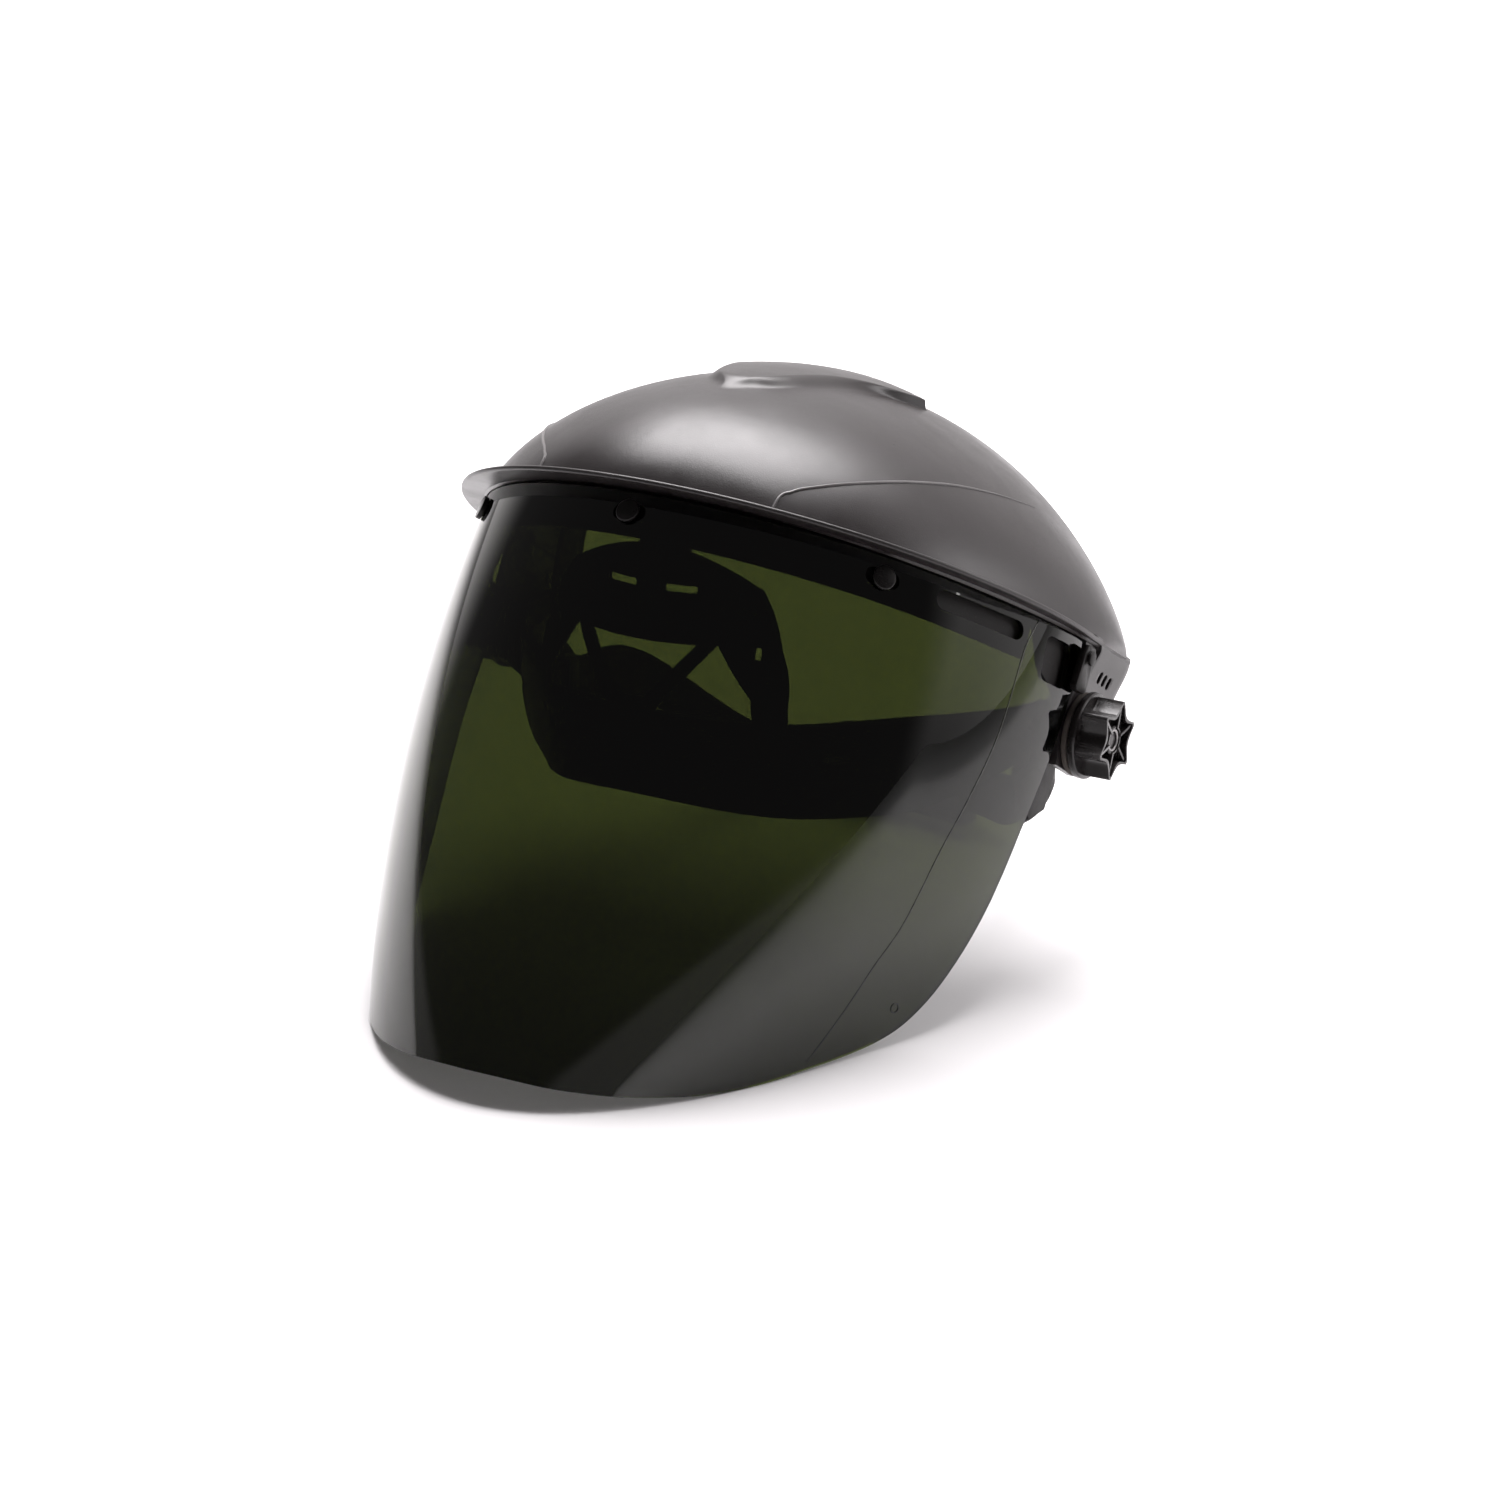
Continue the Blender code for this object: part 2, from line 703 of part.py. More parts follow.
def band_point(angle, z, outset=0.0):
    """The front band's outer face: an ellipse round the brow that flares out to the arms."""
    flare = 0.0325 * smooth((abs(angle) - radians(48)) / radians(50))
    side = 1 if angle > 0 else -1
    x = (HEAD_HALF_WIDTH + outset) * sin(angle) + side * flare
    return (x, -HEAD_BACK - (HEAD_DEPTH + outset) * cos(angle), z)


def band_edges(angle):
    share = smooth(abs(angle) / radians(62))
    upward = smooth((abs(angle) - radians(62)) / radians(30))
    low = -0.0095 - 0.0105 * share + 0.0140 * upward
    high = 0.0215 - 0.0070 * share - 0.0015 * upward
    return low, high


BAND_END = radians(93)


def build_band():
    def band(u, v):
        angle = (2 * u - 1) * BAND_END
        low, high = band_edges(angle)
        return band_point(angle, low + (high - low) * v)

    headband = sheet("headband", 40, 2, band, BAND_WALL, BAND_BLACK, HEADGEAR)
    for side, label in SIDES:
        for angle in (38, 52):
            centre = band_point(radians(side * angle), 0.0)
            vent = prism(
                "band_vent_%s_%d" % (label, angle),
                [rounded_box_outline(centre[0], 0.002, 0.0060, 0.0036, 0.0017, steps=3)],
                -0.11, 0.0, "Y", None, HEADGEAR, CUTTERS,
            )
            combine(headband, vent, "DIFFERENCE")

    pad_end = radians(50)

    def pad(u, v):
        angle = (2 * u - 1) * pad_end
        low, high = band_edges(angle)
        return band_point(angle, low + 0.001 + (high - low - 0.002) * v, -BAND_WALL - 0.0004)

    sheet("brow_pad", 26, 2, pad, 0.0045, PAD_BLACK, HEADGEAR)


PLATE_LOW, PLATE_SIDE_HIGH, PLATE_HIGH = 0.0110, 0.0620, 0.0740
PLATE_OUTSET = 0.0032
PLATE_HALF_WIDTH = ((0.0, 0.0490), (0.37, 0.0490), (0.655, 0.0453), (0.82, 0.0426), (1.0, 0.0374))


def plate_point(x, z):
    """The forehead plate's outer face: the band's curve below, leaning back above it."""
    angle = asin(max(-1.0, min(1.0, x / (HEAD_HALF_WIDTH + PLATE_OUTSET))))
    lean = 0.0190 * max(0.0, (z - 0.0215) / 0.0485) ** 1.5
    return (x, -HEAD_BACK - (HEAD_DEPTH + PLATE_OUTSET) * cos(angle) + lean, z)


def build_forehead_plate():
    """A plate above the brow, arched on top, with a V of struts between three openings."""

    def plate(u, v):
        lean = 2 * u - 1
        high = PLATE_HIGH - (PLATE_HIGH - PLATE_SIDE_HIGH) * lean**2
        return plate_point(lean * along(PLATE_HALF_WIDTH, v), PLATE_LOW + (high - PLATE_LOW) * v)

    thing = sheet("forehead_plate", 18, 8, plate, BAND_WALL, BAND_BLACK, HEADGEAR)
    openings = {
        "middle": [(-0.0050, 0.0262), (0.0051, 0.0262), (0.0206, 0.0448), (-0.0207, 0.0448)],
        "left": [(0.0088, 0.0219), (0.0397, 0.0193), (0.0391, 0.0272), (0.0271, 0.0453)],
        "right": [(-0.0271, 0.0453), (-0.0391, 0.0272), (-0.0397, 0.0193), (-0.0088, 0.0219)],
    }
    for label, outline in openings.items():
        cutter = prism(
            "plate_opening_" + label, [outline], -0.13, -0.03, "Y", None, HEADGEAR, CUTTERS
        )
        combine(thing, cutter, "DIFFERENCE")
    slits = (
        (-0.0113, 0.0613, 0.0120, 0.0026),
        (0.0113, 0.0613, 0.0120, 0.0026),
        (-0.0390, 0.0420, 0.0024, 0.0046),
        (0.0390, 0.0420, 0.0024, 0.0046),
    )
    for i, (x, z, width, height) in enumerate(slits):
        cutter = prism(
            "plate_slit_%d" % i, [rounded_box_outline(x, z, width, height, 0.001, steps=2)],
            -0.13, -0.03, "Y", None, HEADGEAR, CUTTERS,
        )
        combine(thing, cutter, "DIFFERENCE")
    headband = bpy.data.objects["headband"]
    for side, label in SIDES:
        out = Vector((side * 0.482, -0.876, 0))
        foot = Vector((side * 0.0300, -0.0971, 0.0152))
        hole = cylinder(
            "plate_rivet_hole_" + label, 0.0019, 0.020, foot, out, None, HEADGEAR, 16, CUTTERS
        )
        combine(thing, hole, "DIFFERENCE")
        combine(headband, hole, "DIFFERENCE")
        rivet = cylinder(
            "plate_rivet_" + label, 0.0016, 0.0054, foot + 0.0009 * out, out, STUD_BLACK, HEADGEAR, 16
        )
        cap = cylinder(
            "plate_rivet_cap_" + label, 0.0033, 0.0012, foot + 0.0042 * out, out, None, HEADGEAR, 20,
            CUTTERS,
        )
        combine(rivet, cap, "UNION")


def arc_sheet(points, width, lift=0.0):
    """A strap over the head: (y, z) on a smooth curve through points, width along X."""
    count = len(points) - 1
    ys = tuple((float(i), point[0]) for i, point in enumerate(points))
    zs = tuple((float(i), point[1]) for i, point in enumerate(points))

    def place(u, v):
        key = v * count
        return ((u - 0.5) * width, along(ys, key), along(zs, key) + lift)

    return place


def build_crown_straps():
    """The front strap, riveted behind the plate's top, with a row of holes for the crown peg."""
    front_arc = (
        (-0.0880, 0.0655),
        (-0.0834, 0.0733),
        (-0.0700, 0.0800),
        (-0.0450, 0.0862),
        (-0.0100, 0.0905),
        (0.0250, 0.0898),
    )
    front = sheet(
        "crown_strap_front", 1, 16, arc_sheet(front_arc, 0.0200), STRAP_WALL, BAND_BLACK, HEADGEAR
    )
    for i in range(5):
        hole = cylinder(
            "peg_hole_%d" % i, 0.0021, 0.012, (0, -0.0120 + 0.0070 * i, 0.09), (0, 0, 1), None,
            HEADGEAR, 16, CUTTERS,
        )
        combine(front, hole, "DIFFERENCE")
    out = Vector((0, -0.905, 0.425))
    face = Vector((0, -0.0893, 0.0698))
    way = cylinder("front_rivet_hole", 0.0019, 0.018, face, out, None, HEADGEAR, 16, CUTTERS)
    combine(front, way, "DIFFERENCE")
    combine(bpy.data.objects["forehead_plate"], way, "DIFFERENCE")
    rivet = cylinder(
        "strap_rivet_front", 0.0016, 0.0058, face - 0.0020 * out, out, STUD_BLACK, HEADGEAR, 16
    )
    cap = cylinder(
        "strap_rivet_cap_front", 0.0033, 0.0012, face + 0.0009 * out, out, None, HEADGEAR, 20,
        CUTTERS,
    )
    combine(rivet, cap, "UNION")
    peg = cylinder(
        "crown_peg", 0.0018, 0.0080, (0, 0.0160, 0.0877), (0, 0, 1), STUD_BLACK, HEADGEAR, 16
    )
    cap = cylinder(
        "crown_peg_cap", 0.0044, 0.0014, (0, 0.0160, 0.0914), (0, 0, 1), None, HEADGEAR, 20, CUTTERS
    )
    combine(peg, cap, "UNION")


def nape_height(angle):
    """Height of the nape strap's middle: angle from the wearer's side to the back."""
    share = smooth((abs(angle) - radians(14)) / radians(50))
    return NAPE_SIDE_Z + (NAPE_BACK_Z - NAPE_SIDE_Z) * share


def nape_place(radius, start, end, side):
    def place(u, v):
        angle = start + (end - start) * u
        z = nape_height(angle) + NAPE_HEIGHT * (v - 0.5)
        return (side * radius * cos(angle), radius * sin(angle), z)

    return place


def rack_slot(side, label):
    """The slot of a strap's tail: teeth along one edge, to mesh with the pinion, straight on the other."""
    pitch = 2 * pi * PINION_PITCH_RADIUS / PINION_TEETH
    reach = 0.0200
    edge = side
    tip, root = 0.0045, 0.0064
    points = []
    count = 10
    for i in range(-count // 2, count // 2 + 1):
        middle = i * pitch
        if abs(middle) > reach:
            continue
        for offset, height in ((-0.30, root), (-0.12, tip), (0.12, tip), (0.30, root)):
            points.append((middle + offset * pitch, edge * height))
    low = -edge * 0.0068
    points = [(-reach - 0.002, edge * root)] + points + [(reach + 0.002, edge * root)]
    points += [(reach + 0.002, low), (-reach - 0.002, low)]
    shifted = [(a, b + NAPE_BACK_Z) for a, b in points]
    return prism("rack_slot_" + label, [shifted], 0.080, 0.110, "Y", None, HEADGEAR, CUTTERS)


def build_nape_straps():
    """Two toothed straps whose tails overlap behind the head, one inside the other."""
    for side, label in SIDES:
        inside = 0.0 if side > 0 else STRAP_WALL + STRAP_GAP
        radius = NAPE_RADIUS - inside
        place = nape_place(radius, radians(-6), radians(107), side)
        strap = sheet("nape_strap_" + label, 36, 1, place, STRAP_WALL, BAND_BLACK, HEADGEAR)
        strap.modifiers["wall"].offset = -side
        combine(strap, rack_slot(side, label), "DIFFERENCE")


def ring_sector(name, radius, low, high, half_angle, wall, columns, material, holder=None):
    """A curved plate behind the head: outer face at radius, between two heights."""

    def place(u, v):
        angle = pi / 2 + (1 - 2 * u) * half_angle
        return (-radius * cos(angle), radius * sin(angle), low + (high - low) * v)

    return sheet(name, columns, 1, place, wall, material, HEADGEAR, holder)


HOUSING_HALF_ANGLE = radians(17)


def build_ratchet():
    """Housing and cover of the size adjuster, curved round the back of the head."""
    base = NAPE_BACK_Z
    low, high = base - HOUSING_HALF_HEIGHT, base + HOUSING_HALF_HEIGHT
    housing = ring_sector(
        "ratchet_housing", 0.0928, low, high, HOUSING_HALF_ANGLE, 0.0018, 14, KNOB_BLACK
    )
    for label, start in (("floor", low), ("roof", high - 0.0024)):
        wall = ring_sector(
            "housing_" + label, 0.1000, start, start + 0.0024, HOUSING_HALF_ANGLE, 0.0085, 14,
            None, CUTTERS,
        )
        combine(housing, wall, "UNION")
    cover = ring_sector(
        "ratchet_cover", 0.0990, low + 0.0030, high - 0.0030, HOUSING_HALF_ANGLE - 0.004, 0.0016,
        14, KNOB_BLACK,
    )
    axis = (0, 1, 0)
    bore = cylinder("cover_bore", 0.0040, 0.02, (0, 0.099, base), axis, None, HEADGEAR, 24, CUTTERS)
    combine(cover, bore, "DIFFERENCE")
    screw_bore = cylinder(
        "housing_bore", 0.0016, 0.02, (0, 0.092, base), axis, None, HEADGEAR, 16, CUTTERS
    )
    combine(housing, screw_bore, "DIFFERENCE")


def gear_outline(teeth, root, tip, half_tooth_root, half_tooth_tip, turn):
    """A small pinion's outline about the origin."""
    points = []
    for tooth in range(teeth):
        middle = turn + 2 * pi * tooth / teeth
        for radius, half in (
            (root, -half_tooth_root),
            (tip, -half_tooth_tip),
            (tip, half_tooth_tip),
            (root, half_tooth_root),
        ):
            angle = middle + half / radius
            points.append((radius * cos(angle), radius * sin(angle)))
    return points


def lobed_outline(lobes, outer, inner, steps):
    """A round grip with shallow hollows between its lobes."""
    points = []
    for i in range(lobes * steps):
        angle = 2 * pi * i / (lobes * steps)
        wave = 0.5 + 0.5 * cos(lobes * angle)
        radius = inner + (outer - inner) * wave**0.6
        points.append((radius * cos(angle), radius * sin(angle)))
    return points


def build_ratchet_knob():
    """Pinion, turn knob and screw, on an axis along Y behind the head."""
    base = NAPE_BACK_Z
    axis = (0, 1, 0)
    half_space = pi / PINION_TEETH
    teeth = gear_outline(PINION_TEETH, 0.0041, 0.0060, 0.0009, 0.0005, half_space + pi / 2)
    centred = [(a, b + base) for a, b in teeth]
    pinion = prism("ratchet_pinion", [centred], 0.0932, 0.0970, "Y", BRASS, HEADGEAR)
    shaft = cylinder(
        "pinion_shaft", 0.0036, 0.0080, (0, 0.1005, base), axis, None, HEADGEAR, 24, CUTTERS
    )
    combine(pinion, shaft, "UNION")
    pilot = cylinder(
        "pinion_bore", 0.0017, 0.04, (0, 0.100, base), axis, None, HEADGEAR, 16, CUTTERS
    )
    combine(pinion, pilot, "DIFFERENCE")
    grip = [(a, b + base) for a, b in lobed_outline(12, 0.0140, 0.0128, 4)]
    knob = prism("ratchet_knob", [grip], 0.1022, 0.1120, "Y", KNOB_BLACK, HEADGEAR)
    neck = cylinder(
        "knob_neck", 0.0070, 0.0050, (0, 0.1024, base), axis, None, HEADGEAR, 28, CUTTERS
    )
    socket = cylinder(
        "knob_socket", 0.0039, 0.0120, (0, 0.0990, base), axis, None, HEADGEAR, 24, CUTTERS
    )
    screw_way = cylinder(
        "screw_way", 0.0018, 0.030, (0, 0.105, base), axis, None, HEADGEAR, 16, CUTTERS
    )
    screw_seat = cylinder(
        "screw_seat", 0.0036, 0.010, (0, 0.1138, base), axis, None, HEADGEAR, 24, CUTTERS
    )
    combine(knob, neck, "UNION")
    for cutter in (socket, screw_way, screw_seat):
        combine(knob, cutter, "DIFFERENCE")
    screw = cylinder(
        "ratchet_screw", 0.0014, 0.0150, (0, 0.1025, base), axis, STEEL, HEADGEAR, 16
    )
    head = cylinder(
        "ratchet_screw_head", 0.0030, 0.0018, (0, 0.1101, base), axis, None, HEADGEAR, 24, CUTTERS
    )
    combine(screw, head, "UNION")
    for reach in ((0.0036, 0.0008), (0.0008, 0.0036)):
        shape = bmesh.new()
        bmesh.ops.create_cube(shape, size=1.0)
        place = Matrix.Translation((0, 0.1112, base))
        size = Matrix.Diagonal((reach[0], 0.0016, reach[1], 1))
        bmesh.ops.transform(shape, matrix=place @ size, verts=shape.verts)
        recess = add_object("screw_recess", mesh_of(shape, "screw_recess"), None, HEADGEAR, CUTTERS)
        combine(screw, recess, "DIFFERENCE")
    for thing in (pinion, knob, screw):
        hang(thing, "ratchet_frame", (0, 0.100, base))


def build_nape_pad():
    half = radians(24)

    def place(u, v):
        angle = (2 * u - 1) * half
        radius = 0.0875
        z = NAPE_BACK_Z + 0.001 + 0.024 * (v - 0.5)
        return (-radius * sin(angle), radius * cos(angle), z)

    sheet("nape_pad", 14, 2, place, 0.0060, PAD_BLACK, HEADGEAR)


def arm_face(z):
    """An arm's outer face: flat round the pivot, cranked in below to meet the nape strap."""
    return ARM_INNER + ARM_WALL - 0.0085 * smooth((-0.0070 - z) / 0.0085)


def build_arms():
    """An arm at each side, from the pivot down to the nape strap, with its rivets and keeper."""
    front = (
        (-0.0330, -0.0060),
        (-0.0200, -0.0120),
        (-0.0060, -0.0185),
        (0.0080, -0.0185),
        (0.0135, -0.0120),
    )
    back = (
        (-0.0330, 0.0060),
        (-0.0200, 0.0140),
        (-0.0060, 0.0150),
        (0.0080, 0.0200),
        (0.0135, 0.0215),
    )
    for side, label in SIDES:

        def place(u, v):
            z = -0.0330 + 0.0465 * v
            start, end = along(front, z), along(back, z)
            return (side * arm_face(z), start + (end - start) * u, z)

        arm = sheet("side_arm_" + label, 5, 11, place, ARM_WALL, BAND_BLACK, HEADGEAR)
        arm.modifiers["wall"].offset = -side
        bore = cylinder(
            "arm_bore_" + label, 0.0031, 0.020, (side * 0.109, 0, 0), (1, 0, 0), None, HEADGEAR, 24,
            CUTTERS,
        )
        combine(arm, bore, "DIFFERENCE")
        rivets = (("band_rivet_", -0.0135, 0.0050, 0.0998), ("strap_rivet_", 0.0160, 0.0105, 0.1031))
        for name, y, z, seat in rivets:
            band_hole = cylinder(
                name + "hole_" + label, 0.0019, 0.014, (side * 0.1080, y, z), (1, 0, 0), None,
                HEADGEAR, 16, CUTTERS,
            )
            combine(arm, band_hole, "DIFFERENCE")
            held = bpy.data.objects["headband" if name == "band_rivet_" else "crown_strap_cross"]
            combine(held, band_hole, "DIFFERENCE")
            rivet = cylinder(
                name + label, 0.0016, 0.1088 - seat, (side * (0.1088 + seat) / 2, y, z), (1, 0, 0),
                STUD_BLACK, HEADGEAR, 16,
            )
            cap = cylinder(
                name + "cap_" + label, 0.0033, 0.0011, (side * seat, y, z), (1, 0, 0), None,
                HEADGEAR, 20, CUTTERS,
            )
            combine(rivet, cap, "UNION")
        radius = NAPE_RADIUS - (0.0 if side > 0 else STRAP_WALL + STRAP_GAP)
        inner = radius - STRAP_WALL - 0.0006
        outer = 0.0972
        low, high = NAPE_SIDE_Z - NAPE_HEIGHT / 2 - 0.0006, NAPE_SIDE_Z + NAPE_HEIGHT / 2 + 0.0006
        outline = [
            (inner - 0.0016, low - 0.0018), (outer, low - 0.0018), (outer, low), (inner, low),
            (inner, high), (outer, high), (outer, high + 0.0018), (inner - 0.0016, high + 0.0018),
        ]
        prism(
            "strap_keeper_" + label, [mirrored(outline, side)], -0.0030, 0.0040, "Y", STUD_BLACK,
            HEADGEAR,
        )


def build_cross_strap():
    """The strap over the head from one arm to the other, under the front strap."""
    half = (
        (0.1054, 0.0050), (0.1052, 0.0180), (0.0980, 0.0480), (0.0700, 0.0735), (0.0350, 0.0835),
        (0.0, 0.0860),
    )
    points = [(-x, z) for x, z in half] + list(reversed(half[:-1]))
    xs = tuple((float(i), point[0]) for i, point in enumerate(points))
    zs = tuple((float(i), point[1]) for i, point in enumerate(points))

    def place(u, v):
        key = u * (len(points) - 1)
        return (along(xs, key), 0.0070 + 0.0180 * v, along(zs, key))

    cross = sheet("crown_strap_cross", 34, 1, place, STRAP_WALL, BAND_BLACK, HEADGEAR)
    hole = cylinder(
        "cross_peg_hole", 0.0021, 0.012, (0, 0.0160, 0.0860), (0, 0, 1), None, HEADGEAR, 16, CUTTERS
    )
    combine(cross, hole, "DIFFERENCE")


STEPS = (
    build_window, build_studs, build_shell, build_latches, build_knobs, build_pivots, build_band,
    build_forehead_plate, build_crown_straps, build_cross_strap, build_nape_straps, build_ratchet,
    build_ratchet_knob, build_nape_pad, build_arms,
)
for step in STEPS:
    step()
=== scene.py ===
"""Looks of the face shield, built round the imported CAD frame.

Everything is in metres. Front is -Y and the wearer's left is +X. Shapes that belong to the crown
and the window are worked out in the shield frame, whose origin is on the tilt axis, and shapes of
the headgear in a level frame with the same origin.
"""

import json
from math import acos, atan2, cos, pi, radians, sin

import bmesh
import bpy
from mathutils import Matrix, Vector
from mathutils.bvhtree import BVHTree
from mathutils.interpolate import poly_3d_calc


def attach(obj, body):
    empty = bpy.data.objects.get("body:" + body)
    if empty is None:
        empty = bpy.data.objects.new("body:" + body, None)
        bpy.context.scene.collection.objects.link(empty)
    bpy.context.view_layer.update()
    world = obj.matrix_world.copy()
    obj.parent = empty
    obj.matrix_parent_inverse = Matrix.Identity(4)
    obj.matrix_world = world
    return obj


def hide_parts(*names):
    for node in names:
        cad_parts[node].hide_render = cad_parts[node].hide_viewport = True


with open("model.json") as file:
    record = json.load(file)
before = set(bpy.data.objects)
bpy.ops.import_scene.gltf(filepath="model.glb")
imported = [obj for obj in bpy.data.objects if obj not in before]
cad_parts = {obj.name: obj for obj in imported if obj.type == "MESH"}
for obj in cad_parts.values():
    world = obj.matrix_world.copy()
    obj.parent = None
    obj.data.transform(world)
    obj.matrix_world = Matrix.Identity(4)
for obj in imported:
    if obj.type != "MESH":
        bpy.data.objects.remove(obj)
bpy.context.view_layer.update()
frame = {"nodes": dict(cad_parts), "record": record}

# ---------------------------------------------------------------- dimensions shared with the CAD

SHIELD_LEAN = radians(31.2)
AXIS_HEIGHT = 0.0811
AXIS_BACK = 0.0494
RIM_Z = 0.0317
PLAN_BACK = 0.0160

WINDOW_HALF_WIDTH = 0.1086
WINDOW_DEPTH = 0.1199
WINDOW_REACH = 0.223
WINDOW_TAPER = 0.029
WINDOW_BULGE = 0.0124
WINDOW_FORWARD = 0.0041
WING_FLARE = 0.0065
WINDOW_THICKNESS = 0.0020
WINDOW_TOP_GAP = 0.0024
WINDOW_EDGE = (
    (0.0, 0.2010),
    (16.0, 0.2005),
    (29.0, 0.1980),
    (43.0, 0.1915),
    (54.0, 0.1825),
    (63.0, 0.1715),
    (71.0, 0.1600),
    (76.0, 0.1500),
    (79.5, 0.1375),
    (82.3, 0.1200),
    (84.3, 0.1000),
    (86.0, 0.0700),
    (87.6, 0.0500),
    (89.2, 0.0300),
    (90.4, 0.0120),
)
STUD_ANGLE = 45.8
STUD_DROP = 0.0095

DOME_BACK = 0.0150
DOME_FRONT_RADIUS = 0.1530
DOME_TOP_RADIUS = 0.0788
DOME_HALF_WIDTH = 0.1200
DOME_WALL = 0.0024
RIDGE_LIFT = 0.0036
RIDGE_EDGE = (
    (0.243, 0.0020),
    (0.252, 0.0060),
    (0.278, 0.0110),
    (0.331, 0.0183),
    (0.431, 0.0244),
    (0.549, 0.0305),
    (0.620, 0.0345),
    (0.690, 0.0375),
)

BRIM_HALF_WIDTH = 0.1185
BRIM_DEPTH = 0.1296
BRIM_THICKNESS = 0.0018
SKIRT_INSET = 0.0026
SKIRT_DEPTH = 0.0180
SKIRT_WALL = 0.0022

EAR_FACE = 0.1156
EAR_WALL = 0.0030
EAR_INSET = 0.0028
TUCKED_WALL_SHARE = 0.70
EAR_STEP = (-0.0150, -0.0120)
EAR_LOW, EAR_HIGH = -0.0140, 0.0330
EAR_FRONT = (
    (-0.0140, -0.0110),
    (0.0000, -0.0158),
    (0.0085, -0.0235),
    (0.0140, -0.0335),
    (0.0240, -0.0385),
    (0.0330, -0.0460),
)
EAR_BACK = (
    (-0.0140, 0.0070),
    (-0.0040, 0.0152),
    (0.0040, 0.0165),
    (0.0100, 0.0190),
    (0.0160, 0.0225),
    (0.0220, 0.0236),
    (0.0330, 0.0215),
)
LATCH_SEAT = 0.1160

HEAD_HALF_WIDTH = 0.0740
HEAD_DEPTH = 0.0920
HEAD_BACK = 0.0130
NAPE_BACK_Z = 0.0150 - AXIS_HEIGHT

SIDES = ((1, "left"), (-1, "right"))
SHIELD = Matrix.Translation((0, AXIS_BACK, AXIS_HEIGHT)) @ Matrix.Rotation(-SHIELD_LEAN, 4, "X")
LEVEL = Matrix.Translation((0, AXIS_BACK, AXIS_HEIGHT))


def smooth(value):
    value = max(0.0, min(1.0, value))
    return value * value * (3 - 2 * value)


def along(table, key):
    """The value at key on a table of (key, value) points, joined by a smooth monotone curve."""
    keys = [point[0] for point in table]
    values = [point[1] for point in table]
    if key <= keys[0]:
        return values[0]
    if key >= keys[-1]:
        return values[-1]
    slopes = [(values[i + 1] - values[i]) / (keys[i + 1] - keys[i]) for i in range(len(keys) - 1)]
    tangents = [slopes[0]]
    for before, after in zip(slopes, slopes[1:]):
        together = before * after > 0
        tangents.append(2 * before * after / (before + after) if together else 0.0)
    tangents.append(slopes[-1])
    i = max(j for j in range(len(keys) - 1) if keys[j] <= key)
    step = keys[i + 1] - keys[i]
    t = (key - keys[i]) / step
    return (
        (2 * t**3 - 3 * t**2 + 1) * values[i]
        + (t**3 - 2 * t**2 + t) * step * tangents[i]
        + (3 * t**2 - 2 * t**3) * values[i + 1]
        + (t**3 - t**2) * step * tangents[i + 1]
    )


def window_point(angle, drop, inset=0.0):
    """A point on the window's outer face: angle round from the front, drop below the rim."""
    share = drop / WINDOW_REACH
    bulge = WINDOW_BULGE * 4 * share * (1 - share)
    flare = WING_FLARE * smooth((abs(angle) - radians(62)) / radians(30))
    across = WINDOW_HALF_WIDTH - WINDOW_TAPER * share + bulge + flare - inset
    ahead = WINDOW_DEPTH + WINDOW_FORWARD * share + bulge - inset
    return (across * sin(angle), -PLAN_BACK - ahead * cos(angle), RIM_Z - drop)


def window_normal(angle, drop):
    round_step = Vector(window_point(angle + 1e-3, drop)) - Vector(window_point(angle, drop))
    down_step = Vector(window_point(angle, drop + 1e-4)) - Vector(window_point(angle, drop))
    return down_step.cross(round_step).normalized()


def outward_normal(side, angle, drop):
    normal = window_normal(angle, drop)
    return normal if normal.x * side > 0 else -normal


def window_drop(angle):
    return along(WINDOW_EDGE, abs(angle) * 180 / pi)


def dome_point(u, rise, lift=0.0):
    """A point on the crown: u from -1 to 1 across, rise 0 at the brim to 1 at the rear edge."""
    turn = rise * pi / 2
    share = rise**0.53
    across = 2.018 - 0.162 * share
    upward = 2.056 - 0.801 * share
    profile = 1.737
    radius = (
        (cos(turn) / DOME_FRONT_RADIUS) ** profile + (sin(turn) / DOME_TOP_RADIUS) ** profile
    ) ** (-1 / profile) + lift
    reach = radius * max(0.0, 1 - abs(u) ** across) ** (1 / upward)
    return (
        (DOME_HALF_WIDTH + lift) * u,
        DOME_BACK - reach * cos(turn),
        RIM_Z + reach * sin(turn),
    )


def ridge_half_width(rise):
    return along(RIDGE_EDGE, rise) / DOME_HALF_WIDTH


def brim_point(angle, inset):
    """Plan of the brim: an ellipse in front, straight behind the widest point."""
    ahead = BRIM_DEPTH - inset
    across = BRIM_HALF_WIDTH - inset
    if abs(angle) <= pi / 2:
        return (across * sin(angle), -PLAN_BACK - ahead * cos(angle))
    side = 1 if angle > 0 else -1
    return (side * across, -PLAN_BACK + BRIM_HALF_WIDTH * (abs(angle) - pi / 2))


def ear_face(y, z):
    """Distance of an ear's outer face from the middle: set in under the window, proud behind it."""
    drop = max(0.0, RIM_Z - z)
    turn = acos(max(-1.0, min(1.0, (-PLAN_BACK - y) / (WINDOW_DEPTH - SKIRT_INSET))))
    under_window = window_point(min(turn, radians(89)), drop, EAR_INSET)[0]
    flare = smooth((z - 0.018) / 0.014) * 0.0030
    proud = smooth((y - EAR_STEP[0]) / (EAR_STEP[1] - EAR_STEP[0]))
    return under_window + (EAR_FACE + flare - under_window) * proud


# ---------------------------------------------------------------- materials


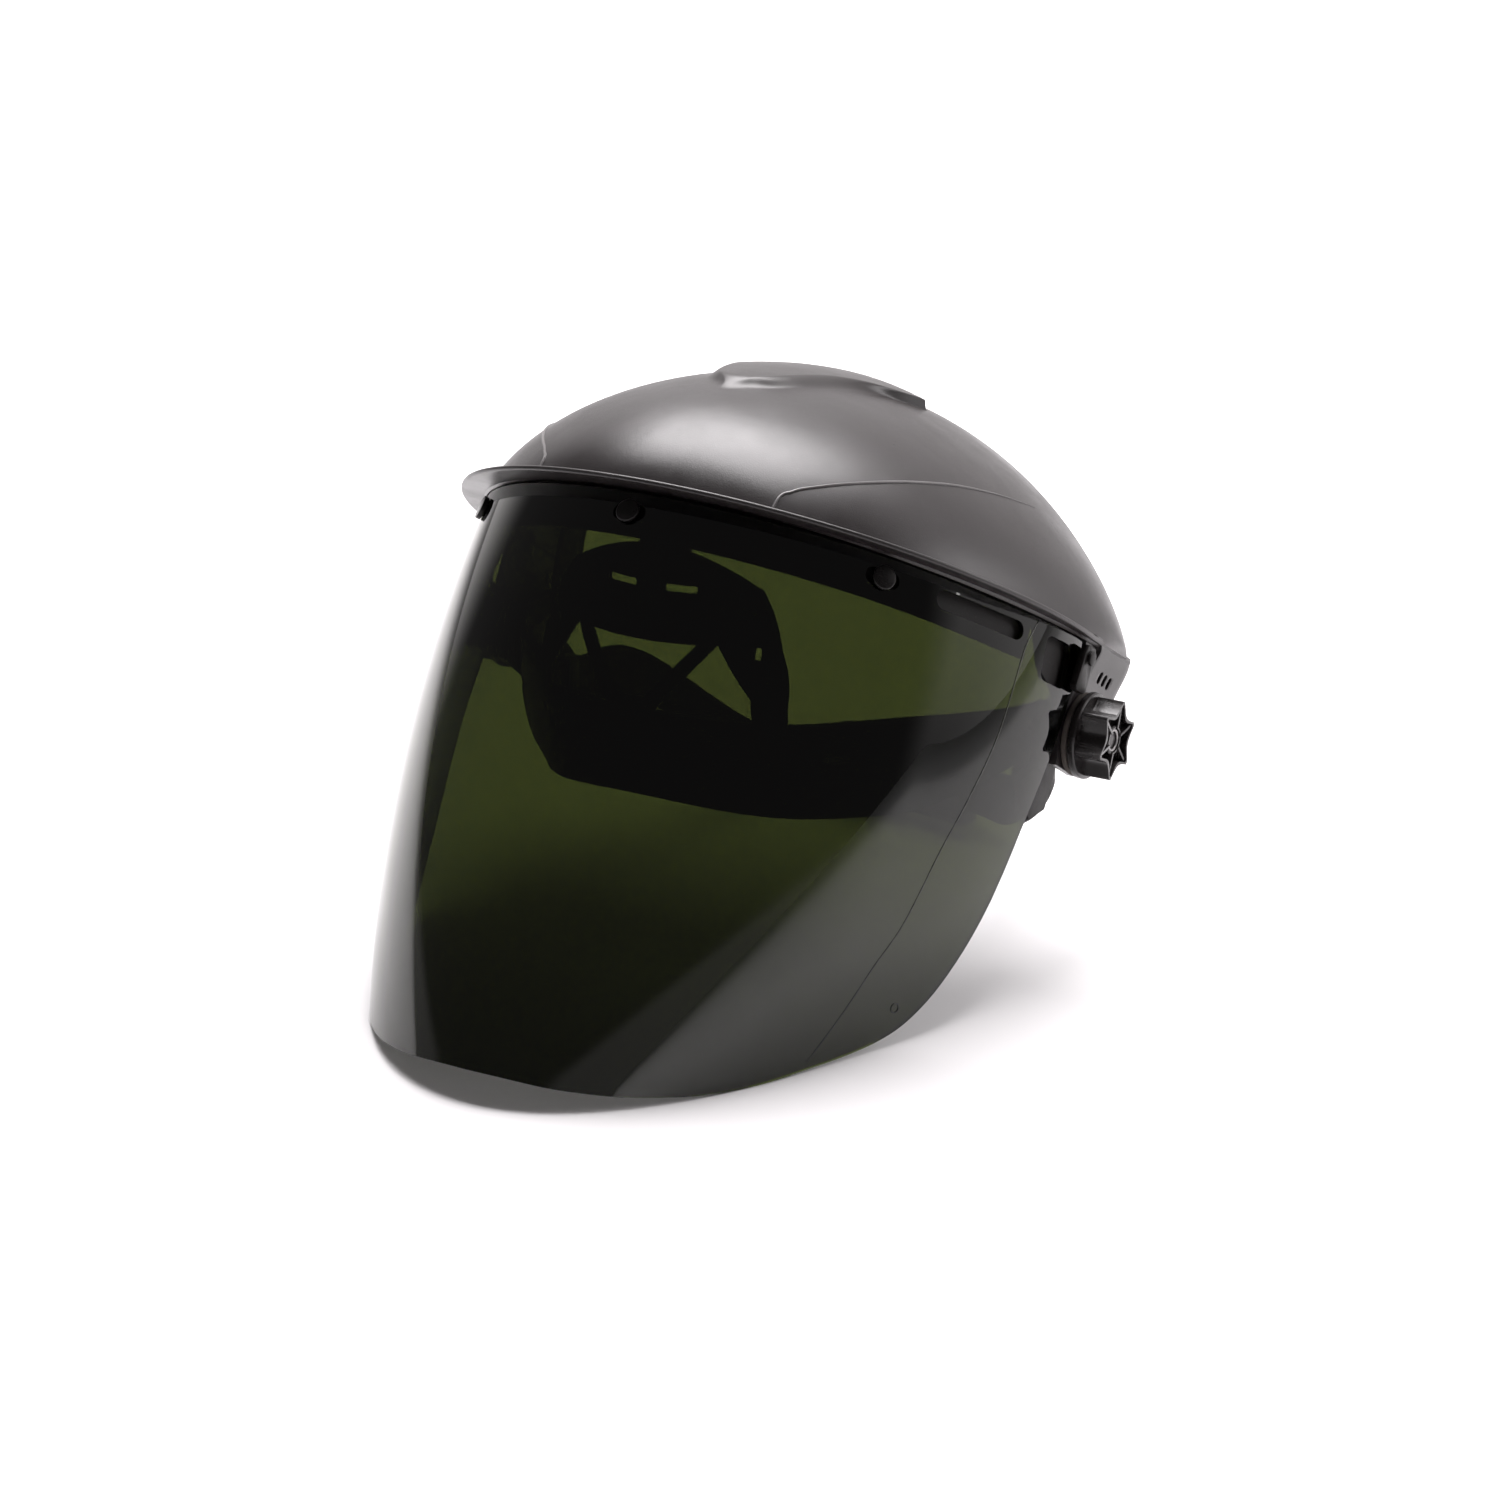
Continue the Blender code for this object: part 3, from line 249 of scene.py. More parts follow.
class Nodes:
    """Short calls for the node tree of one material, whose shader is a Principled BSDF."""

    def __init__(self, name, colour, roughness, **sockets):
        self.material = bpy.data.materials.new(name)
        self.material.use_nodes = True
        self.tree = self.material.node_tree
        self.shader = self.tree.nodes["Principled BSDF"]
        self.set("Base Color", (*colour, 1.0))
        self.set("Roughness", roughness)
        for socket, value in sockets.items():
            self.set(socket.replace("_", " "), value)
        self.place = self.tree.nodes.new("ShaderNodeTexCoord").outputs["Object"]

    def set(self, socket, value):
        self.shader.inputs[socket].default_value = value

    def join(self, source, target):
        self.tree.links.new(source, target)

    def node(self, kind, **values):
        made = self.tree.nodes.new("ShaderNode" + kind)
        for name, value in values.items():
            setattr(made, name, value)
        return made

    def stretched(self, scale):
        mapping = self.node("Mapping")
        mapping.inputs["Scale"].default_value = scale
        self.join(self.place, mapping.inputs["Vector"])
        return mapping.outputs["Vector"]

    def noise(self, scale, detail=3.0, rough=0.5, stretch=(1, 1, 1), distort=0.0):
        made = self.node("TexNoise")
        made.inputs["Scale"].default_value = scale
        made.inputs["Detail"].default_value = detail
        made.inputs["Roughness"].default_value = rough
        made.inputs["Distortion"].default_value = distort
        self.join(self.stretched(stretch), made.inputs["Vector"])
        return made.outputs["Fac"]

    def cells(self, scale, stretch):
        made = self.node("TexVoronoi", feature="F1")
        made.inputs["Scale"].default_value = scale
        self.join(self.stretched(stretch), made.inputs["Vector"])
        return made.outputs["Distance"]

    def range(self, source, low, high, to_low, to_high):
        made = self.node("MapRange")
        for socket, value in zip(
            ("From Min", "From Max", "To Min", "To Max"), (low, high, to_low, to_high)
        ):
            made.inputs[socket].default_value = value
        self.join(source, made.inputs["Value"])
        return made.outputs["Result"]

    def math(self, operation, first, second):
        made = self.node("Math", operation=operation)
        for value, socket in ((first, made.inputs[0]), (second, made.inputs[1])):
            if isinstance(value, (int, float)):
                socket.default_value = value
            else:
                self.join(value, socket)
        return made.outputs[0]

    def blend(self, factor, first, second):
        made = self.node("Mix", data_type="RGBA")
        self.join(factor, made.inputs[0])
        for value, socket in ((first, made.inputs[6]), (second, made.inputs[7])):
            if isinstance(value, tuple):
                socket.default_value = (*value, 1.0)
            else:
                self.join(value, socket)
        return made.outputs[2]

    def colour(self, source):
        self.join(source, self.shader.inputs["Base Color"])

    def roughness(self, source):
        self.join(source, self.shader.inputs["Roughness"])

    def bump(self, *layers):
        """Each layer is (height, depth in metres); the first is laid first."""
        last = None
        for height, depth in layers:
            made = self.node("Bump")
            made.inputs["Strength"].default_value = 1.0
            made.inputs["Distance"].default_value = depth
            self.join(height, made.inputs["Height"])
            if last:
                self.join(last, made.inputs["Normal"])
            last = made.outputs["Normal"]
        self.join(last, self.shader.inputs["Normal"])


def scaled(colour, share):
    return tuple(value * share for value in colour)


def moulded_plastic(name, colour, roughness, grain, depth, wear=0.25, **sockets):
    """Moulded plastic: a fine cast grain, slow changes of tone, dust, and rubbed, paler edges."""
    made = Nodes(name, colour, roughness, **sockets)
    tone = made.noise(22, detail=4)
    dust = made.noise(900, detail=2, rough=0.7)
    edge = made.range(made.node("NewGeometry").outputs["Pointiness"], 0.53, 0.62, 0.0, wear)
    rubbed = made.math("MULTIPLY", edge, made.range(made.noise(160, detail=4), 0.35, 0.7, 0, 1))
    body = made.blend(tone, scaled(colour, 0.80), scaled(colour, 1.25))
    specked = made.blend(
        made.range(dust, 0.64, 0.80, 0.0, 0.30), body, tuple(value + 0.05 for value in colour)
    )
    made.colour(made.blend(rubbed, specked, tuple(value * 2.2 + 0.03 for value in colour)))
    smear = made.range(made.noise(34, detail=5, rough=0.6), 0.3, 0.7, -0.05, 0.06)
    fine = made.range(made.noise(1400, detail=1), 0.3, 0.7, -0.02, 0.02)
    made.roughness(made.math("ADD", roughness, made.math("ADD", smear, fine)))
    made.bump(
        (made.noise(grain, detail=2, rough=0.6), depth),
        (made.noise(55, detail=2), 0.00012),
    )
    return made.material


WINDOW_TINT = (0.0144, 0.0186, 0.0038)


def window_material():
    """Shaded window: dark green right through, with a hard coat that has faint wipe marks."""
    made = Nodes(
        "window_green",
        WINDOW_TINT,
        0.012,
        Transmission_Weight=1.0,
        IOR=1.50,
    )
    made.colour(made.blend(made.noise(9, detail=2), WINDOW_TINT, scaled(WINDOW_TINT, 1.12)))
    wipes = made.noise(26, detail=6, rough=0.7, stretch=(1.0, 1.0, 3.0), distort=0.6)
    streaks = made.range(made.noise(60, detail=2, stretch=(1, 1, 0.06)), 0.62, 0.80, 0.0, 0.012)
    made.roughness(made.math("ADD", made.range(wipes, 0.35, 0.75, 0.004, 0.020), streaks))
    made.bump((made.noise(9, detail=0), 0.00006))
    return made.material


def metal(name, colour, roughness, stretch):
    """Turned or plated metal: brushing along one direction and small stains."""
    made = Nodes(name, colour, roughness, Metallic=1.0)
    lines = made.noise(700, detail=3, rough=0.7, stretch=stretch)
    stain = made.noise(240, detail=5, rough=0.6)
    made.colour(
        made.blend(made.range(stain, 0.40, 0.75, 0.0, 0.7), colour, scaled(colour, 0.62))
    )
    made.roughness(made.range(lines, 0.3, 0.7, roughness - 0.07, roughness + 0.12))
    made.bump((lines, 0.00004))
    return made.material


def fibre_material():
    """Pressed fibre washer: short tangled fibres, matt."""
    made = Nodes("washer_fibre", (0.045, 0.038, 0.034), 0.85)
    strands = made.noise(1500, detail=5, rough=0.8, stretch=(1.0, 0.25, 1.0), distort=1.4)
    made.colour(made.blend(strands, (0.020, 0.017, 0.016), (0.095, 0.078, 0.066)))
    made.bump((strands, 0.00010))
    return made.material


def pad_material():
    """Knitted cover over foam: fine ribs with loops across them, and lint."""
    made = Nodes("pad_black", (0.030, 0.030, 0.033), 0.95, Sheen_Weight=0.35, Sheen_Roughness=0.5)
    rows = made.node("TexWave", wave_type="BANDS", bands_direction="Z")
    rows.inputs["Scale"].default_value = 210
    rows.inputs["Distortion"].default_value = 1.2
    rows.inputs["Detail"].default_value = 2
    rows.inputs["Detail Scale"].default_value = 6
    made.join(made.place, rows.inputs["Vector"])
    loops = made.cells(1150, stretch=(1, 1, 0.8))
    weave = made.math("MULTIPLY", rows.outputs["Fac"], made.range(loops, 0.0, 0.6, 1.0, 0.35))
    lint = made.range(made.noise(520, detail=4, rough=0.8), 0.62, 0.78, 0.0, 0.5)
    thread = made.blend(weave, (0.012, 0.012, 0.013), (0.058, 0.058, 0.062))
    made.colour(made.blend(lint, thread, (0.13, 0.13, 0.135)))
    made.bump((weave, 0.00035), (made.noise(70, detail=3), 0.00050))
    return made.material


MATERIALS = {
    "shell_black": moulded_plastic("shell_black", (0.0165, 0.0135, 0.0138), 0.34, 2300, 0.00004),
    "window_green": window_material(),
    "stud_black": moulded_plastic(
        "stud_black", (0.0060, 0.0052, 0.0050), 0.30, 1800, 0.00003, Specular_IOR_Level=0.22
    ),
    "knob_black": moulded_plastic(
        "knob_black", (0.0065, 0.0050, 0.0050), 0.24, 1500, 0.00003, wear=0.8,
        Specular_IOR_Level=0.36,
    ),
    "band_black": moulded_plastic(
        "band_black", (0.0080, 0.0068, 0.0064), 0.52, 1900, 0.00005, Specular_IOR_Level=0.12
    ),
    "washer_fibre": fibre_material(),
    "steel": metal("steel", (0.60, 0.60, 0.61), 0.28, (1.0, 1.0, 0.08)),
    "brass": metal("brass", (0.72, 0.52, 0.24), 0.30, (0.1, 1.0, 1.0)),
    "pad_black": pad_material(),
}
CREASE_FINISH = moulded_plastic("crease_tint", (0.0120, 0.0140, 0.0060), 0.18, 1200, 0.00002)
DARK_STEEL = metal("blackened_steel", (0.085, 0.080, 0.082), 0.34, (0.08, 1.0, 1.0))
INSERT_STEEL = metal("insert_steel", (0.30, 0.29, 0.29), 0.38, (0.1, 1.0, 1.0))
# Painted shade: a darker, less glossy copy of the shell plastic, put on the skirt and on the ears'
# parts under the window.
PAINTED_SHADE_FINISH = moulded_plastic(
    "shell_painted_shade", (0.0075, 0.0062, 0.0060), 0.50, 2300, 0.00004, Specular_IOR_Level=0.22
)
LATCH_FINISH = moulded_plastic(
    "latch_black", (0.0055, 0.0045, 0.0042), 0.42, 1800, 0.00003, Specular_IOR_Level=0.12
)
# Painted highlight: a paler copy of the shell plastic for the crown's moulded lines.
BEAD_HIGHLIGHT_FINISH = moulded_plastic("bead_painted_highlight", (0.085, 0.080, 0.080), 0.34, 2300, 0.00003)
THREAD_FINISH = moulded_plastic("seam_thread", (0.030, 0.030, 0.032), 0.80, 2600, 0.00008)


# ---------------------------------------------------------------- helpers for pieces


def make_piece(name, shape, slot, body, nodes=(), place=None, angle=35):
    """Turns a bmesh into a piece that rides on a body and stands for CAD nodes."""
    return dress(raw_object(name, shape), slot, body, nodes, place, angle)


def mark_sharp(mesh, angle):
    """Edges whose faces turn by more than angle shade as sharp."""
    shape = bmesh.new()
    shape.from_mesh(mesh)
    for edge in shape.edges:
        turned = len(edge.link_faces) == 2 and edge.calc_face_angle(0.0) > angle
        edge.smooth = not turned
    shape.to_mesh(mesh)
    shape.free()


def grid(columns, rows, place):
    """A grid of quads at place(u, v), u and v from 0 to 1."""
    shape = bmesh.new()
    bmesh.ops.create_grid(shape, x_segments=columns, y_segments=rows, size=0.5)
    for corner in shape.verts:
        corner.co = Vector(place(corner.co.x + 0.5, corner.co.y + 0.5))
    return shape


def slab(columns, rows, face, back):
    """A closed solid between two surfaces, each a function of (u, v) from 0 to 1."""
    shape = bmesh.new()
    layers = []
    for surface in (face, back):
        layer = []
        for j in range(rows + 1):
            line = [
                shape.verts.new(surface(i / columns, j / rows)) for i in range(columns + 1)
            ]
            layer.append(line)
        layers.append(layer)
    for layer in layers:
        for j in range(rows):
            for i in range(columns):
                shape.faces.new(
                    (layer[j][i], layer[j][i + 1], layer[j + 1][i + 1], layer[j + 1][i])
                )
    rim = [(i, 0) for i in range(columns)]
    rim += [(columns, j) for j in range(rows)]
    rim += [(i, rows) for i in range(columns, 0, -1)]
    rim += [(0, j) for j in range(rows, 0, -1)]
    for here, there in zip(rim, rim[1:] + rim[:1]):
        corners = [layer[j][i] for layer in layers for i, j in (here, there)]
        shape.faces.new((corners[0], corners[1], corners[3], corners[2]))
    bmesh.ops.recalc_face_normals(shape, faces=shape.faces)
    return shape


def applied(piece):
    """Makes a piece's modifiers final."""
    bpy.context.view_layer.update()
    evaluated = piece.evaluated_get(bpy.context.evaluated_depsgraph_get())
    mesh = bpy.data.meshes.new_from_object(evaluated)
    piece.modifiers.clear()
    piece.data = mesh
    return piece


def raw_object(name, shape):
    mesh = bpy.data.meshes.new(name)
    shape.to_mesh(mesh)
    shape.free()
    thing = bpy.data.objects.new(name, mesh)
    bpy.context.scene.collection.objects.link(thing)
    return thing


def thick(name, shape, wall, round_edge, segments):
    """A closed wall from an open grid, with its rim rounded off."""
    thing = raw_object(name, shape)
    solid = thing.modifiers.new("wall", "SOLIDIFY")
    solid.thickness = wall
    solid.offset = -1.0
    solid.use_even_offset = True
    bevel = thing.modifiers.new("rim", "BEVEL")
    bevel.width = round_edge
    bevel.segments = segments
    bevel.limit_method = "ANGLE"
    bevel.angle_limit = radians(50)
    return applied(thing)


def dress(thing, slot, body, nodes=(), place=None, angle=35):
    """Finishes a raw object: its place, material, shading, body and the CAD nodes it stands for."""
    if place is not None:
        thing.data.transform(place)
    thing.data.materials.clear()
    thing.data.materials.append(MATERIALS[slot])
    thing.data.shade_smooth()
    if angle < 180:
        mark_sharp(thing.data, radians(angle))
    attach(thing, body)
    if nodes:
        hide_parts(*nodes)
    return thing


def swept(path, section):
    """A solid whose flat section, from section(i, point), is carried along path."""
    shape = bmesh.new()
    rings = []
    for i, point in enumerate(path):
        rings.append([shape.verts.new(corner) for corner in section(i, point)])
    count = len(rings[0])
    for first, second in zip(rings, rings[1:]):
        for j in range(count):
            k = (j + 1) % count
            shape.faces.new((first[j], first[k], second[k], second[j]))
    shape.faces.new(list(reversed(rings[0])))
    shape.faces.new(rings[-1])
    bmesh.ops.recalc_face_normals(shape, faces=shape.faces)
    return shape


def ring_at(path, i, out, radius, sides, flatness=1.0):
    """Corners of a round or flattened cord's section at path[i], out being its upper side."""
    forward = (path[min(len(path) - 1, i + 1)] - path[max(0, i - 1)]).normalized()
    across = forward.cross(out).normalized()
    turns = [2 * pi * k / sides for k in range(sides)]
    return [
        path[i] + radius * (across * cos(turn) + flatness * out * sin(turn)) for turn in turns
    ]


def rounded_section(width, height, radius, steps=4):
    """Corners of a rounded rectangle about its middle."""
    points = []
    for sign_a, sign_b, start in ((1, 1, 0), (-1, 1, 90), (-1, -1, 180), (1, -1, 270)):
        a = sign_a * (width / 2 - radius)
        b = sign_b * (height / 2 - radius)
        for i in range(steps + 1):
            turn = radians(start + 90 * i / steps)
            points.append((a + radius * cos(turn), b + radius * sin(turn)))
    return points


def circle(radius, count):
    return [
        (radius * cos(2 * pi * i / count), radius * sin(2 * pi * i / count)) for i in range(count)
    ]


def moved(outline, middle):
    return [(a + middle[0], b + middle[1]) for a, b in outline]


def extruded(outline, low, high, frame_of):
    """A prism between two levels; frame_of(a, b, level) gives the corner."""
    shape = bmesh.new()
    bottom = [shape.verts.new(frame_of(a, b, low)) for a, b in outline]
    top = [shape.verts.new(frame_of(a, b, high)) for a, b in outline]
    count = len(outline)
    for i in range(count):
        j = (i + 1) % count
        shape.faces.new((bottom[i], bottom[j], top[j], top[i]))
    shape.faces.new(list(reversed(bottom)))
    shape.faces.new(top)
    bmesh.ops.recalc_face_normals(shape, faces=shape.faces)
    return shape


def cut(target, tools, operation="DIFFERENCE"):
    for tool in tools:
        step = target.modifiers.new("cut", "BOOLEAN")
        step.operation = operation
        step.solver = "EXACT"
        step.object = tool
    applied(target)
    for tool in tools:
        bpy.data.objects.remove(tool, do_unlink=True)
    return target


def rounded_edges(thing, width, segments=2, angle=38):
    step = thing.modifiers.new("edges", "BEVEL")
    step.width = width
    step.segments = segments
    step.limit_method = "ANGLE"
    step.angle_limit = radians(angle)
    return applied(thing)


def refined(node, slot, body, bevel=0.0003, segments=2, angle=28):
    """A CAD node's own shape with its flat facets rejoined and its edges rounded."""
    source = frame["nodes"][node]
    shape = bmesh.new()
    shape.from_mesh(source.data)
    bmesh.ops.remove_doubles(shape, verts=shape.verts, dist=1e-6)
    bmesh.ops.dissolve_limit(
        shape, angle_limit=radians(1.0), verts=shape.verts, edges=shape.edges, delimit={"SHARP"}
    )
    thing = raw_object(node + "_detail", shape)
    if bevel:
        rounded_edges(thing, bevel, segments, angle)
    return dress(thing, slot, body, (node,), angle=40)


def turned(profile, segments, place):
    """A closed ring turned about the local Z from (radius, height) points, put in place."""
    shape = bmesh.new()
    rings = []
    for i in range(segments):
        angle = 2 * pi * i / segments
        rings.append(
            [
                shape.verts.new(place @ Vector((r * cos(angle), r * sin(angle), h)))
                for r, h in profile
            ]
        )
    count = len(profile)
    for i in range(segments):
        first, second = rings[i], rings[(i + 1) % segments]
        for j in range(count):
            k = (j + 1) % count
            shape.faces.new((first[j], second[j], second[k], first[k]))
    bmesh.ops.remove_doubles(shape, verts=shape.verts, dist=1e-7)
    bmesh.ops.recalc_face_normals(shape, faces=shape.faces)
    return shape


# ---------------------------------------------------------------- crown

DOME_COLUMNS_IN, DOME_COLUMNS_STEP, DOME_COLUMNS_OUT = 22, 8, 46


def dome_columns():
    """Column positions as (band, share): inside the ridge, across its side, and outside it."""
    half = [("in", i / DOME_COLUMNS_IN) for i in range(DOME_COLUMNS_IN)]
    half += [("step", i / DOME_COLUMNS_STEP) for i in range(DOME_COLUMNS_STEP)]
    half += [("out", i / DOME_COLUMNS_OUT) for i in range(DOME_COLUMNS_OUT + 1)]
    return [(-1, *entry) for entry in reversed(half[1:])] + [(1, *entry) for entry in half]


RIDGE_TIP_U = 0.050
RIDGE_SLOPE_FRONT, RIDGE_SLOPE_REAR = 0.062, 0.012
RIDGE_START, RIDGE_END = RIDGE_EDGE[0][0], RIDGE_EDGE[-1][0]


def dome_rows():
    """Rise of each row, closer together where the ridge begins and ends."""
    stops = (
        (0.0, 0.012, 4),
        (0.012, RIDGE_START - 0.010, 20),
        (RIDGE_START - 0.010, RIDGE_START + 0.070, 20),
        (RIDGE_START + 0.070, RIDGE_END - 0.010, 24),
        (RIDGE_END - 0.010, RIDGE_END + 0.008, 9),
        (RIDGE_END + 0.008, 1.0, 26),
    )
    rows = [low + (high - low) * i / count for low, high, count in stops for i in range(count)]
    return rows + [1.0]


def dome_across(band, share, rise):
    """(u, how far up the ridge's side) at a column."""
    foot = max(RIDGE_TIP_U, ridge_half_width(rise))
    steeper = smooth((rise - 0.42) / 0.20)
    step = RIDGE_SLOPE_FRONT + (RIDGE_SLOPE_REAR - RIDGE_SLOPE_FRONT) * steeper
    step = min(step, 0.8 * foot)
    if band == "in":
        return (foot - step) * share, 1.0
    if band == "step":
        return foot - step + step * share, 1 - (0.5 * smooth(share) + 0.5 * share)
    rest = 0.45 * share + 0.55 * sin(share * pi / 2)
    return foot + (1 - foot) * rest, 0.0


def ridge_share(u, rise):
    """How much of the ridge's height is there along its length: a blunt tip, a steep rear end."""
    tip = RIDGE_START - 0.004 + 0.009 * min(1.0, u / RIDGE_TIP_U) ** 2
    return smooth((rise - tip) / 0.055) * (1 - smooth((rise - RIDGE_END + 0.007) / 0.010))


def build_dome():
    columns = dome_columns()
    shape = bmesh.new()
    lines = []
    for rise in dome_rows():
        line = []
        for side, band, share in columns:
            u, up = dome_across(band, share, rise)
            tall = RIDGE_LIFT * up * ridge_share(u, rise)
            line.append(shape.verts.new(dome_point(side * u, rise, tall)))
        lines.append(line)
    for first, second in zip(lines, lines[1:]):
        for i in range(len(columns) - 1):
            shape.faces.new((first[i], first[i + 1], second[i + 1], second[i]))
    bmesh.ops.remove_doubles(shape, verts=shape.verts, dist=2e-5)
    thing = thick("crown_dome", shape, DOME_WALL, 0.0007, 3)
    dress(thing, "shell_black", "shield", ("crown_shell",), SHIELD, angle=60)


def dome_surface(x, rise):
    return Vector(dome_point(x / DOME_HALF_WIDTH, max(0.0, min(1.0, rise))))


def rise_at(x, y):
    """The rise whose point at x lies at y."""
    low, high = 0.0, 1.0
    for _ in range(40):
        middle = (low + high) / 2
        if dome_surface(x, middle).y < y:
            low = middle
        else:
            high = middle
    return (low + high) / 2


BEAD_RADIUS = 0.00055
BEAD_LINE = (
    (45.0, -136.0),
    (45.6, -125.5),
    (48.6, -121.4),
    (54.2, -114.9),
    (60.3, -106.4),
    (65.0, -98.4),
    (69.4, -89.4),
    (73.5, -79.6),
    (77.3, -68.6),
    (82.6, -50.6),
    (86.6, -31.6),
    (87.9, -21.5),
)


def dome_out(x, rise):
    across = dome_surface(x + 1e-4, rise) - dome_surface(x - 1e-4, rise)
    upward = dome_surface(x, rise + 1e-3) - dome_surface(x, rise - 1e-3)
    return across.cross(upward).normalized()


def build_beads():
    """The fine moulded line on each side of the crown, painted paler than the shell as a painted
    highlight.
    """
    table_x = tuple((float(i), point[0] / 1000) for i, point in enumerate(BEAD_LINE))
    table_y = tuple((float(i), point[1] / 1000) for i, point in enumerate(BEAD_LINE))
    steps = 96
    stations = []
    for i in range(steps + 1):
        key = (len(BEAD_LINE) - 1) * i / steps
        x, y = along(table_x, key), along(table_y, key)
        rise = rise_at(x, y)
        stations.append((dome_surface(x, rise), dome_out(x, rise)))
    for side, label in SIDES:
        mirror = Vector((side, 1, 1))
        path = [point * mirror for point, _ in stations]

        def section(i, point):
            radius = BEAD_RADIUS * (0.3 + 0.7 * smooth((steps - i) / (steps * 0.35)))
            return ring_at(path, i, stations[i][1] * mirror, radius, 8)

        bead = make_piece(
            "crown_bead_" + label, swept(path, section), "shell_black", "shield", (), SHIELD
        )
        # The line is painted pale as a painted highlight.
        bead.data.materials[0] = BEAD_HIGHLIGHT_FINISH


def build_brim():
    end = radians(108)
    steps = 220
    path = [(2 * i / steps - 1) * end for i in range(steps + 1)]

    def section(i, angle):
        flange = 0.0170 - 0.0125 * smooth((abs(angle) - radians(60)) / radians(24))
        corners = []
        for a, b in rounded_section(flange, BRIM_THICKNESS, 0.00075):
            x, y = brim_point(angle, -0.0004 + flange / 2 - a)
            corners.append((x, y, RIM_Z + b))
        return corners

    make_piece("crown_brim", swept(path, section), "shell_black", "shield", (), SHIELD)
    skirt_end = radians(77)
    path = [(2 * i / 180 - 1) * skirt_end for i in range(181)]

    def skirt_section(i, angle):
        corners = []
        for a, b in rounded_section(SKIRT_WALL, SKIRT_DEPTH, 0.0008):
            drop = SKIRT_DEPTH / 2 - 0.0004 - b
            corners.append(window_point(angle, drop, SKIRT_INSET + SKIRT_WALL / 2 - a))
        return corners

    skirt = make_piece(
        "crown_skirt", swept(path, skirt_section), "shell_black", "shield", (), SHIELD
    )
    # The skirt is painted darker than the shell as painted shade.
    skirt.data.materials[0] = PAINTED_SHADE_FINISH


POCKET_MIDDLE = (-0.0138, 0.0200)
BOLT_HOLE = 0.0033
SLIT_PLACES = (0.0050, 0.0092, 0.0134)
SLIT_HEIGHT = 0.0215


def build_ears():
    """Both ears, each stepped in where the window lies over it."""
    for side, label in SIDES:

        def place(u, v, depth=0.0):
            z = EAR_LOW + (EAR_HIGH - EAR_LOW) * v
            start, end = along(EAR_FRONT, z), along(EAR_BACK, z)
            step_start = max(start + 0.0010, EAR_STEP[0])
            step_end = max(step_start + 0.0010, EAR_STEP[1])
            if u < 0.375:
                y = start + (step_start - start) * u / 0.375
            elif u < 0.625:
                y = step_start + (step_end - step_start) * (u - 0.375) / 0.25
            else:
                y = step_end + (end - step_end) * (u - 0.625) / 0.375
            proud = smooth((y - EAR_STEP[0]) / (EAR_STEP[1] - EAR_STEP[0]))
            wall = depth * (TUCKED_WALL_SHARE + (1 - TUCKED_WALL_SHARE) * proud)
            return (side * (ear_face(y, z) - wall), y, z)

        def inner(u, v):
            return place(u, v, EAR_WALL)

        ear = raw_object("crown_ear_" + label, slab(40, 36, place, inner))

        def across(a, b, level):
            return (side * level, a, b)

        pocket = moved(rounded_section(0.0190, 0.0224, 0.0030, 5), POCKET_MIDDLE)
        tools = [raw_object("pocket", extruded(pocket, LATCH_SEAT, 0.130, across))]
        tools.append(raw_object("bore", extruded(circle(BOLT_HOLE, 32), 0.100, 0.125, across)))
        for y in SLIT_PLACES:
            slit = moved(rounded_section(0.0024, 0.0044, 0.0011, 4), (y, SLIT_HEIGHT))
            tools.append(raw_object("slit", extruded(slit, 0.106, 0.124, across)))
        cut(ear, tools)
        rounded_edges(ear, 0.0004)
        # Faces under the window get the darker copy of the shell plastic as painted shade.
        painted_shade_faces = [face.index for face in ear.data.polygons if face.center.y < EAR_STEP[0]]
        dress(ear, "shell_black", "shield", (), SHIELD, angle=40)
        ear.data.materials.append(PAINTED_SHADE_FINISH)
        for index in painted_shade_faces:
            ear.data.polygons[index].material_index = 1


# ---------------------------------------------------------------- window


def window_slot(angle_from, angle_to, drop, height):
    middle = (angle_from + angle_to) / 2
    centre = Vector(window_point(radians(middle), drop))
    ends = [Vector(window_point(radians(angle), drop)) for angle in (angle_from, angle_to)]
    span = (ends[1] - ends[0]).length
    outline = rounded_section(span + height, height, height * 0.49, 8)

    def place(a, b, level):
        return (a, -level, b)

    tool = raw_object("slot", extruded(outline, -0.012, 0.012, place))
    ahead = ends[1] - ends[0]
    tool.data.transform(
        Matrix.Translation(centre) @ Matrix.Rotation(atan2(ahead.y, ahead.x), 4, "Z")
    )
    return tool


def copy_normals(thing, source_mesh):
    """Shades a cut sheet as its uncut self, so that holes leave no dents in the reflections."""
    shape = bmesh.new()
    shape.from_mesh(source_mesh)
    shape.normal_update()
    tree = BVHTree.FromBMesh(shape)
    shape.faces.ensure_lookup_table()
    mesh = thing.data
    normals = []
    for face in mesh.polygons:
        for loop in face.loop_indices:
            point = mesh.vertices[mesh.loops[loop].vertex_index].co
            found, normal, index, _ = tree.find_nearest(point)
            best = face.normal
            if found is not None:
                corners = shape.faces[index].verts
                weights = poly_3d_calc([corner.co for corner in corners], found)
                mixed = Vector()
                for corner, weight in zip(corners, weights):
                    mixed += corner.normal * weight
                mixed.normalize()
                if mixed.dot(face.normal) > 0.86:
                    best = mixed
                elif mixed.dot(face.normal) < -0.86:
                    best = -mixed
            normals.append(best)
    shape.free()
    mesh.normals_split_custom_set(normals)


STUD_HOLE_HALF, STUD_HOLE_HEIGHT = 1.7, 0.0056
SLOT_ENDS = (58.0, 73.5)
SLOT_DROP, SLOT_HEIGHT = 0.0092, 0.0066
WING_HOLE_MIDDLE = (-0.0295, 0.0178)


